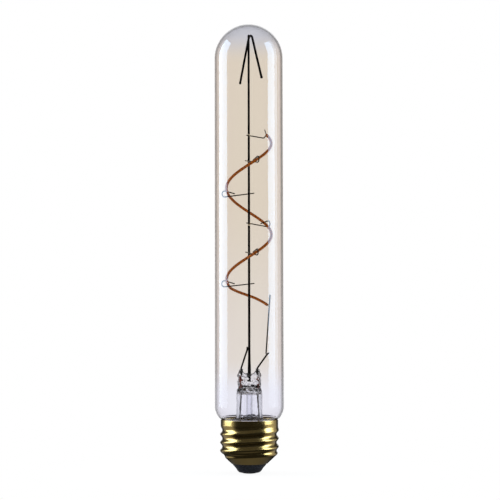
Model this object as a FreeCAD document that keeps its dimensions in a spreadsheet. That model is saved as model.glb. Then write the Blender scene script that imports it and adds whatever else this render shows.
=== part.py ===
# Tubular lamp: a long amber glass tube with a spiral filament on a mast and a 26 mm screw cap.
# Millimetres. The origin is the face of the centre contact, +Z runs up the tube to its dome,
# +X is to the right and +Y away from someone who faces the lamp.
import FreeCAD
import Part
import Sketcher
import math
import os
import re

SIZES = {
    # Glass envelope
    "overall_length": 200.0,
    "tube_radius": 15.4,
    "tube_taper": 0.15,
    "glass_wall": 0.9,
    "shoulder_climb_ratio": 1.4634,
    "shoulder_bend_ratio": 2.0,
    "shoulder_drop_ratio": 0.5915,
    "shoulder_nose_ratio": 0.317,
    "neck_bend": 0.7,
    "neck_bottom": 15.5,
    # Stem: a flare fused into the neck, a tube and a press that holds the wires
    "flare_land": 2.0,
    "flare_top": 27.8,
    "stem_radius": 5.8,
    "stem_wall": 1.0,
    "stem_shoulder": 35.0,
    "stem_roof": 36.0,
    "press_rise": 8.4,
    "press_width": 10.3,
    "press_depth": 4.6,
    "press_round": 0.9,
    "horn_rise": 2.0,
    "horn_foot": 1.5,
    "horn_tip": 0.75,
    "port_level": 38.4,
    "port_radius": 0.75,
    # Exhaust tube
    "exhaust_radius": 1.5,
    "exhaust_wall": 0.6,
    "exhaust_tip": 10.5,
    # Mast and the spring on its top
    "mast_radius": 0.47,
    "mast_foot": 40.8,
    "mast_headroom": 4.5,
    "spring_wire": 0.38,
    "spring_arch": 2.8,
    "spring_margin": 1.3,
    "spring_drop": 20.4,
    "spring_heading": -69.0,
    # Filament: a right-handed helix that runs flatter after its last hook, then steeper to its end
    "helix_margin": 4.5,
    "filament_radius": 0.575,
    "filament_top": 151.1,
    "helix_pitch": 40.6,
    "tail_pitch": 22.0,
    "end_pitch": 28.0,
    "start_angle": 37.0,
    "flat_angle": 610.0,
    "end_angle": 680.0,
    "whole_angle": 722.0,
    "end_tab_radius": 0.2,
    "end_tab_length": 2.6,
    "end_tab_angle": 65.0,
    "lower_tab_length": 0.9,
    # Hooks that carry the filament, by the angle that the helix has turned at each
    "hook_wire": 0.25,
    "hook_angle_1": 104.0,
    "hook_angle_2": 233.5,
    "hook_angle_3": 351.5,
    "hook_angle_4": 466.0,
    "hook_angle_5": 590.0,
    "hook_tail": 2.3,
    "hook_loop": 1.35,
    "hook_nose": 1.6,
    "hook_back": 3.2,
    "hook_lift": 0.15,
    "connection_tail": 1.8,
    "connection_bend": 0.8,
    "connection_dip": 0.9,
    # Wires through the press
    "lead_wire": 0.39,
    "lead_spread": 3.6,
    "seal_bottom": 37.6,
    "seal_top": 43.4,
    "left_lead_top": 56.2,
    "left_lead_heading": 165.0,
    "link_wire": 0.32,
    "link_foot": 52.9,
    "link_lean": 1.25,
    "link_rise_past_tab": 5.0,
    "lead_dip_under_link": 0.35,
    "lead_tip_run": 1.05,
    "lead_tip_rise": 0.85,
    # Screw cap
    "shell_sheet": 0.3,
    "crest_radius": 13.1,
    "collar_step": 0.3,
    "thread_depth": 1.0,
    "collar_bottom": 20.4,
    "rim_level": 24.0,
    "thread_pitch": 3.629,
    "thread_turns": 3.0,
    "groove_level": 8.4,
    "groove_flank": 1.45,
    "groove_floor": 0.5,
    "cone_top": 9.2,
    "cone_foot_radius": 7.95,
    "shell_foot": 4.35,
    "eye_radius": 7.6,
    # Insulator, contact and cement
    "insulator_rise": 2.7,
    "nose_radius": 5.55,
    "nose_level": 1.4,
    "contact_radius": 3.4,
    "contact_lip": 0.5,
    "shank_radius": 1.2,
    "shank_rise": 0.8,
    "cement_bottom": 20.9,
    "cement_top": 23.2,
    "cement_gap": 1.2,
    # Driver board inside the cap
    "board_width": 15.0,
    "board_height": 7.3,
    "board_thickness": 1.0,
    "board_setback": 2.6,
    "chip_width": 4.9,
    "chip_depth": 1.5,
    "chip_height": 3.9,
    "chip_spread": 4.2,
    "capacitor_radius": 2.5,
    "capacitor_height": 6.6,
    "resistor_radius": 1.1,
    "resistor_length": 5.0,
    "resistor_offset": 5.6,
    "cap_wire": 0.2,
    "shell_wire_tail": 4.0,
    "shell_wire_heading": 30.0,
    "solder_gap": 0.02,
    "working_gap": 0.3,
}

# Sizes that follow from others, so that the pieces stay fitted to each other
FOLLOWING = {
    "collar_radius": "crest_radius - collar_step",
    "root_radius": "crest_radius - thread_depth",
    "neck_radius": "crest_radius - collar_step - shell_sheet - cement_gap",
    "dome_radius": "tube_radius - tube_taper",
    "shoulder_level": "rim_level + (tube_radius - neck_radius) * shoulder_climb_ratio",
    "shoulder_bend": "(tube_radius - neck_radius) * shoulder_bend_ratio",
    "shoulder_drop": "shoulder_bend * shoulder_drop_ratio",
    "shoulder_nose": "shoulder_bend * shoulder_nose_ratio",
    "insulator_top": "shell_foot + insulator_rise",
    "mast_top": "overall_length - mast_headroom",
    "spring_leg_level": "overall_length - mast_headroom - spring_drop",
    "spring_reach": "tube_radius - glass_wall - spring_margin",
    "helix_radius": "tube_radius - glass_wall - helix_margin",
    "link_foot_radius": "helix_radius - link_lean",
}

doc = FreeCAD.newDocument("TubularLamp")
sheet = doc.addObject("Spreadsheet::Sheet", "Sizes")
contents = {alias: str(value) for alias, value in SIZES.items()}
contents.update({alias: "=" + formula for alias, formula in FOLLOWING.items()})
for row, (alias, content) in enumerate(contents.items(), start=1):
    sheet.set(f"A{row}", alias)
    sheet.set(f"B{row}", content)
    sheet.setAlias(f"B{row}", alias)
doc.recompute()

FUNCTIONS = {"sqrt", "sin", "cos", "tan"}
pieces = []


def size(alias):
    """A driving size, read from the sheet."""
    return float(sheet.get(alias))


def cells(formula):
    """The formula with each size's name turned into a reference to its cell."""
    def reference(word):
        name = word.group()
        return name if name in FUNCTIONS else "Sizes." + name
    return re.sub(r"[a-z]\w*", reference, str(formula))


def worked(formula):
    """The number that a formula gives now."""
    return float(sheet.evalExpression(cells(formula)))


def bind(thing, place, formula):
    thing.setExpression(place, cells(formula))


def put(piece, x="0", y="0", z="0", heading="0"):
    """Places a piece by formulas: where its own origin lies and how far it is turned about Z."""
    piece.Placement = FreeCAD.Placement(
        FreeCAD.Vector(worked(x), worked(y), worked(z)),
        FreeCAD.Rotation(FreeCAD.Vector(0, 0, 1), worked(heading)),
    )
    for axis, formula in (("x", x), ("y", y), ("z", z)):
        bind(piece, "Placement.Base." + axis, formula)


def keep(piece):
    pieces.append(piece)
    return piece


def new_body(label):
    body = doc.addObject("PartDesign::Body", label)
    body.Label = label
    return keep(body)


def origin_plane(body, role):
    return next(item for item in body.Origin.OriginFeatures if item.Role == role)


def new_sketch(body, role, name, level="0"):
    """A sketch on one of the body's own planes, moved along the plane's normal by a formula."""
    sketch = body.newObject("Sketcher::SketchObject", name)
    sketch.AttachmentSupport = [(origin_plane(body, role), "")]
    sketch.MapMode = "FlatFace"
    sketch.AttachmentOffset = FreeCAD.Placement(FreeCAD.Vector(0, 0, worked(level)), FreeCAD.Rotation())
    bind(sketch, "AttachmentOffset.Base.z", level)
    return sketch


def fix_point(sketch, item, end, across, up):
    """Holds one point of a sketch at a place given by two formulas."""
    for kind, axis, formula in (("DistanceX", -2, across), ("DistanceY", -1, up)):
        if formula == "0":
            sketch.addConstraint(Sketcher.Constraint("PointOnObject", item, end, axis))
            continue
        number = sketch.addConstraint(Sketcher.Constraint(kind, -1, 1, item, end, worked(formula)))
        bind(sketch, f"Constraints[{number}]", formula)


def fix_radius(sketch, item, formula):
    number = sketch.addConstraint(Sketcher.Constraint("Radius", item, worked(formula)))
    bind(sketch, f"Constraints[{number}]", formula)


def arc_item(sketch, start, end, radius, side):
    """An arc shorter than a half circle, bulging to the right (side 1) or left (-1) of its way.

    Returns its number and the ends that hold its start and finish, as a sketch counts them.
    """
    chord = end.sub(start)
    normal = FreeCAD.Vector(-chord.y, chord.x, 0).multiply(side / chord.Length)
    reach = math.sqrt(radius ** 2 - (chord.Length / 2) ** 2)
    centre = start.add(end).multiply(0.5).add(normal.multiply(reach))
    angles = [math.atan2(point.y - centre.y, point.x - centre.x) for point in (start, end)]
    if side < 0:
        angles.reverse()
    if angles[1] < angles[0]:
        angles[1] += 2 * math.pi
    circle = Part.Circle(centre, FreeCAD.Vector(0, 0, 1), radius)
    item = sketch.addGeometry(Part.ArcOfCircle(circle, angles[0], angles[1]), False)
    return (item, 1, 2) if side > 0 else (item, 2, 1)


def draw_outline(sketch, corners):
    """A closed outline. A corner is (across, up), with (radius, side) after it where an arc leaves it."""
    spots = [FreeCAD.Vector(worked(corner[0]), worked(corner[1]), 0) for corner in corners]
    items = []
    for number, corner in enumerate(corners):
        start, end = spots[number], spots[(number + 1) % len(spots)]
        if len(corner) == 4:
            items.append(arc_item(sketch, start, end, worked(corner[2]), corner[3]))
            fix_radius(sketch, items[-1][0], corner[2])
        else:
            items.append((sketch.addGeometry(Part.LineSegment(start, end), False), 1, 2))
    for number, corner in enumerate(corners):
        before, item = items[number - 1], items[number]
        sketch.addConstraint(Sketcher.Constraint("Coincident", before[0], before[2], item[0], item[1]))
        fix_point(sketch, item[0], item[1], corner[0], corner[1])


def turn_outline(body, corners, name, kind="PartDesign::Revolution"):
    """A full turn of an outline about Z, added to the body or cut from it."""
    sketch = new_sketch(body, "XZ_Plane", name + "Sketch")
    draw_outline(sketch, corners)
    feature = body.newObject(kind, name)
    feature.Profile = sketch
    feature.ReferenceAxis = (sketch, ["V_Axis"])
    feature.Angle = 360
    return feature


def coil_outline(body, corners, name, kind, pitch, height):
    """A right-handed helical sweep of an outline about Z."""
    sketch = new_sketch(body, "XZ_Plane", name + "Sketch")
    draw_outline(sketch, corners)
    feature = body.newObject(kind, name)
    feature.Profile = sketch
    feature.ReferenceAxis = (sketch, ["V_Axis"])
    feature.Mode = 0
    feature.Pitch = worked(pitch)
    feature.Height = worked(height)
    bind(feature, "Pitch", pitch)
    bind(feature, "Height", height)
    return feature


def cylinder_feature(body, kind, name, radius, height, x="0", y="0", z="0", rotation=None):
    feature = body.newObject(kind, name)
    feature.Radius = worked(radius)
    feature.Height = worked(height)
    bind(feature, "Radius", radius)
    bind(feature, "Height", height)
    place_feature(feature, x, y, z, rotation)
    return feature


def place_feature(feature, x, y, z, rotation=None):
    feature.Placement = FreeCAD.Placement(
        FreeCAD.Vector(worked(x), worked(y), worked(z)), rotation or FreeCAD.Rotation())
    for axis, formula in (("x", x), ("y", y), ("z", z)):
        bind(feature, "Placement.Base." + axis, formula)


def bent_wire(label, start, centre, bend, end, side, wire):
    """A round wire in one plane: a straight run, a bend about a centre and a straight run."""
    body = new_body(label)
    spine = new_sketch(body, "XZ_Plane", label + "_spine")
    first = FreeCAD.Vector(worked(start[0]), worked(start[1]), 0)
    middle = FreeCAD.Vector(worked(centre[0]), worked(centre[1]), 0)
    last = FreeCAD.Vector(worked(end[0]), worked(end[1]), 0)
    radius = worked(bend)
    touch = [tangent_point(first, middle, radius, side), tangent_point(last, middle, radius, -side)]
    angles = [math.atan2(point.y - middle.y, point.x - middle.x) for point in touch]
    ends = (1, 2)
    if side < 0:
        angles.reverse()
        ends = (2, 1)
    if angles[1] < angles[0]:
        angles[1] += 2 * math.pi
    run_in = spine.addGeometry(Part.LineSegment(first, touch[0]), False)
    circle = Part.Circle(middle, FreeCAD.Vector(0, 0, 1), radius)
    arc = spine.addGeometry(Part.ArcOfCircle(circle, angles[0], angles[1]), False)
    run_out = spine.addGeometry(Part.LineSegment(touch[1], last), False)
    spine.addConstraint(Sketcher.Constraint("Tangent", run_in, 2, arc, ends[0]))
    spine.addConstraint(Sketcher.Constraint("Tangent", arc, ends[1], run_out, 1))
    fix_point(spine, run_in, 1, start[0], start[1])
    fix_point(spine, arc, 3, centre[0], centre[1])
    fix_radius(spine, arc, bend)
    fix_point(spine, run_out, 2, end[0], end[1])
    doc.recompute()
    section = body.newObject("Sketcher::SketchObject", label + "_section")
    section.AttachmentSupport = [(spine, "Edge1")]
    section.MapMode = "NormalToEdge"
    section.MapPathParameter = 0
    ring = section.addGeometry(Part.Circle(FreeCAD.Vector(), FreeCAD.Vector(0, 0, 1), worked(wire)), False)
    section.addConstraint(Sketcher.Constraint("Coincident", ring, 3, -1, 1))
    fix_radius(section, ring, wire)
    pipe = body.newObject("PartDesign::AdditivePipe", label + "_pipe")
    pipe.Profile = section
    pipe.Spine = (spine, ["Edge1", "Edge2", "Edge3"])
    return body


def tangent_point(outside, centre, radius, side):
    """Where a line from an outside point touches a circle. Side 1 keeps the centre on its left."""
    away = outside.sub(centre)
    swing = math.acos(radius / away.Length)
    heading = math.atan2(away.y, away.x) + side * swing
    return centre.add(FreeCAD.Vector(radius * math.cos(heading), radius * math.sin(heading), 0))


def routed_wire(label, corners, bends, wire):
    """A round wire through corners in space, each corner but the first and last rounded by an arc."""
    edges = []
    start = corners[0]
    for before, corner, after, bend in zip(corners, corners[1:], corners[2:], bends):
        way_in = corner.sub(before).normalize()
        way_out = after.sub(corner).normalize()
        turned = way_in.getAngle(way_out)
        step = bend * math.tan(turned / 2)
        arc_start = corner.sub(FreeCAD.Vector(way_in).multiply(step))
        arc_end = corner.add(FreeCAD.Vector(way_out).multiply(step))
        inward = way_out.sub(way_in).normalize()
        gap = bend / math.cos(turned / 2) - bend
        arc_middle = corner.add(inward.multiply(gap))
        edges.append(Part.LineSegment(start, arc_start).toShape())
        edges.append(Part.Arc(arc_start, arc_middle, arc_end).toShape())
        start = arc_end
    edges.append(Part.LineSegment(start, corners[-1]).toShape())
    spine = Part.Wire(edges)
    ring = Part.Wire([Part.Circle(corners[0], corners[1].sub(corners[0]), wire).toShape()])
    piece = doc.addObject("Part::Feature", label)
    piece.Label = label
    piece.Shape = spine.makePipeShell([ring], True, False)
    return keep(piece)


def straight_rod(label, start, end, wire):
    """A plain round rod between two points in space."""
    along = end.sub(start)
    piece = doc.addObject("Part::Cylinder", label)
    piece.Label = label
    bind(piece, "Radius", wire)
    piece.Height = along.Length
    piece.Placement = FreeCAD.Placement(start, FreeCAD.Rotation(FreeCAD.Vector(0, 0, 1), along))
    return keep(piece)


# Glass envelope


def envelope_outline(inset, top, bottom):
    """Half outline of the envelope, set in from its outer face by the inset formula."""
    bend = f"(shoulder_bend - {inset})"
    nose = f"(shoulder_nose - {inset})"
    neck = f"(neck_bend + {inset})"
    bend_centre = "(tube_radius - shoulder_bend)"
    # The nose arc starts where the large bend has dropped by shoulder_drop.
    lean_down = "(shoulder_drop / shoulder_bend)"
    lean_out = f"sqrt(1 - {lean_down} ^ 2)"
    nose_across = f"({bend_centre} + (shoulder_bend - shoulder_nose) * {lean_out})"
    nose_level = f"(shoulder_level - (shoulder_bend - shoulder_nose) * {lean_down})"
    # The nose meets the concave bend of the neck where both centres line up.
    share_out = f"((neck_radius + neck_bend - {nose_across}) / (shoulder_nose + neck_bend))"
    share_down = f"sqrt(1 - {share_out} ^ 2)"
    neck_level = f"({nose_level} - (shoulder_nose + neck_bend) * {share_down})"
    dome_level = "(overall_length - dome_radius)"
    return [
        ("0", bottom),
        (f"neck_radius - {inset}", bottom),
        (f"neck_radius - {inset}", neck_level, neck, -1),
        (f"{nose_across} + {nose} * {share_out}", f"{nose_level} - {nose} * {share_down}", nose, 1),
        (f"{bend_centre} + {bend} * {lean_out}", f"shoulder_level - {bend} * {lean_down}", bend, 1),
        (f"tube_radius - {inset}", "shoulder_level"),
        (f"dome_radius - {inset}", dome_level, f"dome_radius - {inset}", 1),
        ("0", top),
    ]


def build_envelope():
    body = new_body("glass_envelope")
    turn_outline(body, envelope_outline("0", "overall_length", "neck_bottom"), "Outside")
    inside = envelope_outline("glass_wall", "overall_length - glass_wall", "neck_bottom - glass_wall")
    turn_outline(body, inside, "Inside", "PartDesign::Groove")


# Stem


def build_stem():
    body = new_body("glass_stem")
    land_top = "(neck_bottom + flare_land)"
    drop = f"(flare_top - {land_top})"
    spread = "(neck_radius - glass_wall - stem_radius)"
    flare_bend = f"(({drop} ^ 2 + {spread} ^ 2) / (2 * {spread}))"
    land_radius = "(neck_radius - glass_wall)"
    roof_bend = "(stem_radius - press_depth / 2)"
    outline = [
        (f"{land_radius} - stem_wall", "neck_bottom"),
        (land_radius, "neck_bottom"),
        (land_radius, land_top, flare_bend, -1),
        ("stem_radius", "flare_top"),
        ("stem_radius", "stem_shoulder", roof_bend, 1),
        ("press_depth / 2", f"stem_shoulder + {roof_bend}"),
        ("0", f"stem_shoulder + {roof_bend}"),
        ("0", "stem_roof"),
        ("stem_radius - stem_wall", "stem_roof"),
        ("stem_radius - stem_wall", "flare_top", f"{flare_bend} + stem_wall", 1),
        (f"{land_radius} - stem_wall", f"{land_top} - stem_wall"),
    ]
    turn_outline(body, outline, "FlareTube")
    # The press is a flat block with round ends, rising out of the closed tube.
    plan = new_sketch(body, "XY_Plane", "PressPlan", "stem_roof")
    half = "(press_width / 2 - press_depth / 2)"
    corners = [
        (f"-{half}", "-press_depth / 2"),
        (half, "-press_depth / 2", "press_depth / 2", 1),
        (half, "press_depth / 2"),
        (f"-{half}", "press_depth / 2", "press_depth / 2", 1),
    ]
    draw_outline_with_half_rounds(plan, corners)
    pad = body.newObject("PartDesign::Pad", "Press")
    pad.Profile = plan
    pad.Length = worked("press_rise")
    bind(pad, "Length", "press_rise")
    doc.recompute()
    top = worked("stem_roof + press_rise")
    rim = [f"Edge{number}" for number, edge in enumerate(pad.Shape.Edges, start=1)
           if all(abs(point.Z - top) < 1e-6 for point in edge.Vertexes)]
    round_top = body.newObject("PartDesign::Fillet", "PressTop")
    round_top.Base = (pad, rim)
    round_top.Radius = worked("press_round")
    bind(round_top, "Radius", "press_round")
    for side, sign in (("Left", "-"), ("Right", "")):
        horn = body.newObject("PartDesign::AdditiveCone", side + "Horn")
        for name, formula in (("Radius1", "horn_foot"), ("Radius2", "horn_tip"),
                              ("Height", "horn_rise + press_round")):
            setattr(horn, name, worked(formula))
            bind(horn, name, formula)
        place_feature(horn, f"{sign}lead_spread", "0", "stem_roof + press_rise - press_round")
        cylinder_feature(body, "PartDesign::SubtractiveCylinder", side + "LeadHole", "lead_wire",
                         "press_rise + horn_rise + 2 * stem_wall", f"{sign}lead_spread", "0",
                         "stem_roof - stem_wall")
    cylinder_feature(body, "PartDesign::SubtractiveCylinder", "MastHole", "mast_radius",
                     "stem_roof + press_rise + stem_wall - mast_foot", "0", "0", "mast_foot")
    bore = "exhaust_radius - exhaust_wall"
    cylinder_feature(body, "PartDesign::SubtractiveCylinder", "ExhaustBore", bore,
                     "port_level - stem_roof + stem_wall + port_radius / 3", "0", "0",
                     "stem_roof - stem_wall")
    cylinder_feature(body, "PartDesign::SubtractiveCylinder", "ExhaustPort", "port_radius",
                     "2 * stem_radius", "0", "stem_radius", "port_level",
                     FreeCAD.Rotation(FreeCAD.Vector(1, 0, 0), 90))


def draw_outline_with_half_rounds(sketch, corners):
    """A slot outline: two straight sides joined by two half circles."""
    spots = [FreeCAD.Vector(worked(corner[0]), worked(corner[1]), 0) for corner in corners]
    items = []
    for number in range(len(corners)):
        start, end = spots[number], spots[(number + 1) % len(spots)]
        if number % 2 == 0:
            items.append(sketch.addGeometry(Part.LineSegment(start, end), False))
            continue
        middle = start.add(end).multiply(0.5)
        radius = worked(corners[number][2])
        circle = Part.Circle(middle, FreeCAD.Vector(0, 0, 1), radius)
        from_angle = math.atan2(start.y - middle.y, start.x - middle.x)
        arc = Part.ArcOfCircle(circle, from_angle, from_angle + math.pi)
        items.append(sketch.addGeometry(arc, False))
    for number, item in enumerate(items):
        after = items[(number + 1) % len(items)]
        sketch.addConstraint(Sketcher.Constraint("Tangent", item, 2, after, 1))
    fix_point(sketch, items[0], 1, corners[0][0], corners[0][1])
    fix_point(sketch, items[0], 2, corners[1][0], corners[1][1])
    fix_radius(sketch, items[1], corners[1][2])


def build_exhaust():
    body = new_body("exhaust_tube")
    bore = "(exhaust_radius - exhaust_wall)"
    outline = [
        ("0", "exhaust_tip"),
        ("exhaust_radius", "exhaust_tip + exhaust_radius"),
        ("exhaust_radius", "stem_roof"),
        (bore, "stem_roof"),
        (bore, f"exhaust_tip + exhaust_wall + {bore}", bore, -1),
        ("0", "exhaust_tip + exhaust_wall"),
    ]
    outline[0] = ("0", "exhaust_tip", "exhaust_radius", 1)
    turn_outline(body, outline, "Drawn")


# Mast and spring


def build_mast():
    body = new_body("support_mast")
    outline = [
        ("0", "mast_foot"),
        ("mast_radius", "mast_foot"),
        ("mast_radius", "mast_top - mast_radius", "mast_radius", 1),
        ("0", "mast_top"),
    ]
    turn_outline(body, outline, "Rod")


def build_spring():
    arch_level = "mast_top - mast_radius - spring_arch"
    spring = bent_wire("top_spring", ("spring_reach", "spring_leg_level"), ("0", arch_level),
                       "spring_arch", ("-spring_reach", "spring_leg_level"), 1, "spring_wire")
    beside = "(mast_radius + spring_wire + solder_gap)"
    put(spring, f"-{beside} * sin(spring_heading)", f"{beside} * cos(spring_heading)", "0",
        "spring_heading")


# Filament


def filament_spot(turned):
    """The filament's centre line after it has turned by so many degrees from its top end."""
    flat = size("flat_angle")
    end = size("end_angle")
    drop = size("helix_pitch") * min(turned, flat) / 360
    drop += size("tail_pitch") * max(min(turned, end) - flat, 0) / 360
    drop += size("end_pitch") * max(turned - end, 0) / 360
    heading = math.radians(size("start_angle") - turned)
    radius = size("helix_radius")
    return FreeCAD.Vector(radius * math.cos(heading), radius * math.sin(heading),
                          size("filament_top") - drop)


def filament_way(turned):
    """The unit vector along the filament, downwards."""
    step = 0.5
    return filament_spot(turned + step).sub(filament_spot(turned - step)).normalize()


def build_filament():
    turned = size("whole_angle")
    count = round(turned / 12)
    spots = [filament_spot(turned * number / count) for number in range(count + 1)]
    curve = Part.BSplineCurve()
    curve.interpolate(spots)
    ring = Part.Wire([Part.Circle(spots[0], filament_way(0), size("filament_radius")).toShape()])
    piece = doc.addObject("Part::Feature", "led_filament")
    piece.Label = "led_filament"
    piece.Shape = Part.Wire([curve.toShape()]).makePipeShell([ring], True, False)
    keep(piece)
    # The upper tab stands up more steeply than the filament, so it starts a little clear of its end.
    back = filament_way(0).negative()
    angle = math.radians(size("end_tab_angle"))
    level = FreeCAD.Vector(back.x, back.y, 0).normalize()
    upward = level.multiply(math.cos(angle)).add(FreeCAD.Vector(0, 0, math.sin(angle)))
    clear = size("end_tab_radius") * math.tan(back.getAngle(upward))
    foot = spots[0].add(back.multiply(clear))
    straight_rod("upper_end_tab", foot, foot.add(upward.multiply(size("end_tab_length"))), "end_tab_radius")
    end = spots[-1]
    way = filament_way(turned)
    straight_rod("lower_end_tab", end, end.add(way.multiply(size("lower_tab_length"))), "end_tab_radius")


# Hooks


def build_hooks():
    beside = "(mast_radius + hook_wire + solder_gap)"
    climb = "(helix_pitch / (6.28319 * helix_radius))"
    # The filament rests on the lower arm, which drops evenly from the mast to the foot of the loop.
    rest = f"((filament_radius + hook_wire + solder_gap) * sqrt(1 + {climb} ^ 2))"
    arm_fall = "((hook_loop + hook_lift) * hook_nose / (hook_tail + helix_radius + hook_nose))"
    # A hook lies beside the mast, so it meets the filament a little further down the helix.
    swing_fall = f"(helix_pitch * {beside} / (6.28319 * helix_radius))"
    for number in range(1, 6):
        turn = f"hook_angle_{number}"
        centre = ("helix_radius + hook_nose", "hook_loop")
        hook = bent_wire(f"support_hook_{number}", ("-hook_tail", "hook_loop + hook_lift"), centre,
                         "hook_loop", ("helix_radius - hook_back", "hook_loop"), 1, "hook_wire")
        heading = f"(start_angle - {turn})"
        put(hook, f"{beside} * sin({heading})", f"-{beside} * cos({heading})",
            f"filament_top - helix_pitch * {turn} / 360 - {swing_fall} - {rest} - {arm_fall}", heading)
    bend = "connection_bend"
    reach = "(helix_radius - filament_radius - hook_wire - solder_gap)"
    connection = bent_wire("upper_connection_hook", ("-connection_tail", "connection_dip"),
                           (f"{reach} - 2 * {bend}", bend), bend, (reach, "connection_dip + hook_wire"),
                           1, "hook_wire")
    put(connection, f"{beside} * sin(start_angle)", f"-{beside} * cos(start_angle)",
        f"filament_top - {swing_fall} - connection_dip - hook_wire", "start_angle")


# Wires through the press


def build_leads():
    spread = size("lead_spread")
    wire = size("lead_wire")
    seal_bottom = size("seal_bottom")
    seal_top = size("seal_top")
    horn_tip = worked("stem_roof + press_rise + horn_rise")
    beside_mast = size("mast_radius") + wire + 3 * size("solder_gap")
    vector = FreeCAD.Vector
    for side, sign in (("left", -1), ("right", 1)):
        straight_rod(f"dumet_seal_{side}", vector(sign * spread, 0, seal_bottom),
                     vector(sign * spread, 0, seal_top), "lead_wire")
    left_top = size("left_lead_top")
    left_heading = math.radians(size("left_lead_heading"))
    weld = vector(beside_mast * math.cos(left_heading), beside_mast * math.sin(left_heading), left_top)
    routed_wire("inner_lead_left", [
        vector(-spread, 0, seal_top), vector(-spread, 0, horn_tip + wire),
        weld.sub(vector(0, 0, 3 * wire)), weld,
    ], [2 * wire, 2 * wire], wire)
    # The link wire leans outwards to the lower tab, in one upright plane through the axis.
    turned = size("whole_angle")
    tab = filament_spot(turned).add(filament_way(turned).multiply(size("lower_tab_length")))
    heading = math.atan2(tab.y, tab.x)
    outward = vector(math.cos(heading), math.sin(heading), 0)
    tab_reach = math.hypot(tab.x, tab.y)
    link = size("link_wire")
    foot = vector(outward).multiply(size("link_foot_radius"))
    foot.z = size("link_foot")
    weld = vector(outward).multiply(tab_reach + size("end_tab_radius") + link + size("solder_gap"))
    weld.z = tab.z
    head = weld.add(weld.sub(foot).normalize().multiply(size("link_rise_past_tab")))
    straight_rod("lower_link_wire", foot, head, "link_wire")
    # The right lead passes the foot of the link wire on its front side, and its tip points up past it.
    beside_link = link + wire + size("solder_gap")
    meet = foot.add(vector(outward.y, -outward.x, 0).multiply(beside_link))
    meet.z = foot.z - size("lead_dip_under_link")
    tip = meet.add(vector(outward).multiply(size("lead_tip_run")))
    tip.z = meet.z + size("lead_tip_rise")
    routed_wire("inner_lead_right", [
        vector(spread, 0, seal_top), vector(spread, 0, horn_tip + wire), meet, tip,
    ], [2 * wire, 2 * wire], wire)
    board_face = size("board_setback") - wire - size("solder_gap")
    inside = size("stem_radius") - size("stem_wall") - wire - size("working_gap")
    board_top = worked("insulator_top + board_height")
    for side, sign in (("left", -1), ("right", 1)):
        routed_wire(f"outer_lead_{side}", [
            vector(sign * spread, 0, seal_bottom),
            vector(sign * spread, 0, seal_bottom - 4 * wire),
            vector(sign * inside, 0, size("flare_top")),
            vector(sign * (inside + 1), board_face, board_top + 3 * wire),
            vector(sign * (inside + 1), board_face, board_top - 4 * wire),
        ], [4 * wire, 4 * wire, 2 * wire], wire)


def build_cap_wires():
    vector = FreeCAD.Vector
    wire = size("cap_wire")
    gap = size("solder_gap")
    shank_top = worked("insulator_top + shank_rise")
    routed_wire("contact_wire", [
        vector(0, 0, shank_top),
        vector(0, 0, shank_top + 6 * wire),
        vector(0, size("board_setback"), shank_top + 6 * wire),
    ], [3 * wire], wire)
    # The shell wire climbs the back of the board, then between the glass neck and the shell.
    back = worked("board_setback + board_thickness") + wire + gap
    across = size("board_width") / 2 - 4 * wire
    board_top = worked("insulator_top + board_height")
    reach = worked("(neck_radius + root_radius - shell_sheet) / 2")
    heading = math.radians(size("shell_wire_heading"))
    beside_neck = vector(reach * math.cos(heading), reach * math.sin(heading), size("neck_bottom") - 3 * wire)
    top = vector(beside_neck.x, beside_neck.y, size("cement_bottom") - gap)
    routed_wire("shell_wire", [
        vector(across, back, board_top - size("shell_wire_tail")), vector(across, back, board_top),
        beside_neck, top,
    ], [2 * wire, 2 * wire], wire)


# Screw cap


def build_shell():
    body = new_body("screw_shell")
    crest_foot = "(collar_bottom - (crest_radius - collar_radius) * 2)"
    outline = [
        ("eye_radius", "shell_foot"),
        ("cone_foot_radius", "shell_foot"),
        ("crest_radius", "cone_top"),
        ("crest_radius", crest_foot),
        ("collar_radius", "collar_bottom"),
        ("collar_radius", "rim_level"),
        ("collar_radius - shell_sheet", "rim_level"),
        ("collar_radius - shell_sheet", "collar_bottom"),
        ("crest_radius - shell_sheet", crest_foot),
        ("crest_radius - shell_sheet", "cone_top + shell_sheet * 0.4"),
        ("cone_foot_radius - shell_sheet * 0.4", "shell_foot + shell_sheet"),
        ("eye_radius", "shell_foot + shell_sheet"),
    ]
    turn_outline(body, outline, "Drawn")
    height = "(thread_pitch * thread_turns)"
    # The rolled groove bulges inwards by one sheet, is trimmed flush with the cone where it starts,
    # and is cut from outside.
    bulge = [
        ("crest_radius - shell_sheet * 0.5", "groove_level - groove_flank"),
        ("crest_radius - shell_sheet * 0.5", "groove_level + groove_flank"),
        ("root_radius - shell_sheet", "groove_level + groove_floor"),
        ("root_radius - shell_sheet", "groove_level - groove_floor"),
    ]
    coil_outline(body, bulge, "InnerBulge", "PartDesign::AdditiveHelix", "thread_pitch", height)
    outside_cone = [
        ("cone_foot_radius", "shell_foot"),
        ("crest_radius + shell_sheet", "shell_foot"),
        ("crest_radius + shell_sheet", "cone_top"),
        ("crest_radius", "cone_top"),
    ]
    turn_outline(body, outside_cone, "ConeTrim", "PartDesign::Groove")
    flank = "(groove_flank - shell_sheet * 0.6)"
    floor = "(groove_floor - shell_sheet * 0.2)"
    groove = [
        ("crest_radius + shell_sheet", f"groove_level + {flank} + shell_sheet"),
        ("root_radius", f"groove_level + {floor}"),
        ("root_radius", f"groove_level - {floor}"),
        ("crest_radius + shell_sheet", f"groove_level - {flank} - shell_sheet"),
    ]
    coil_outline(body, groove, "OuterGroove", "PartDesign::SubtractiveHelix", "thread_pitch", height)
    put(body, heading="180")


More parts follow.
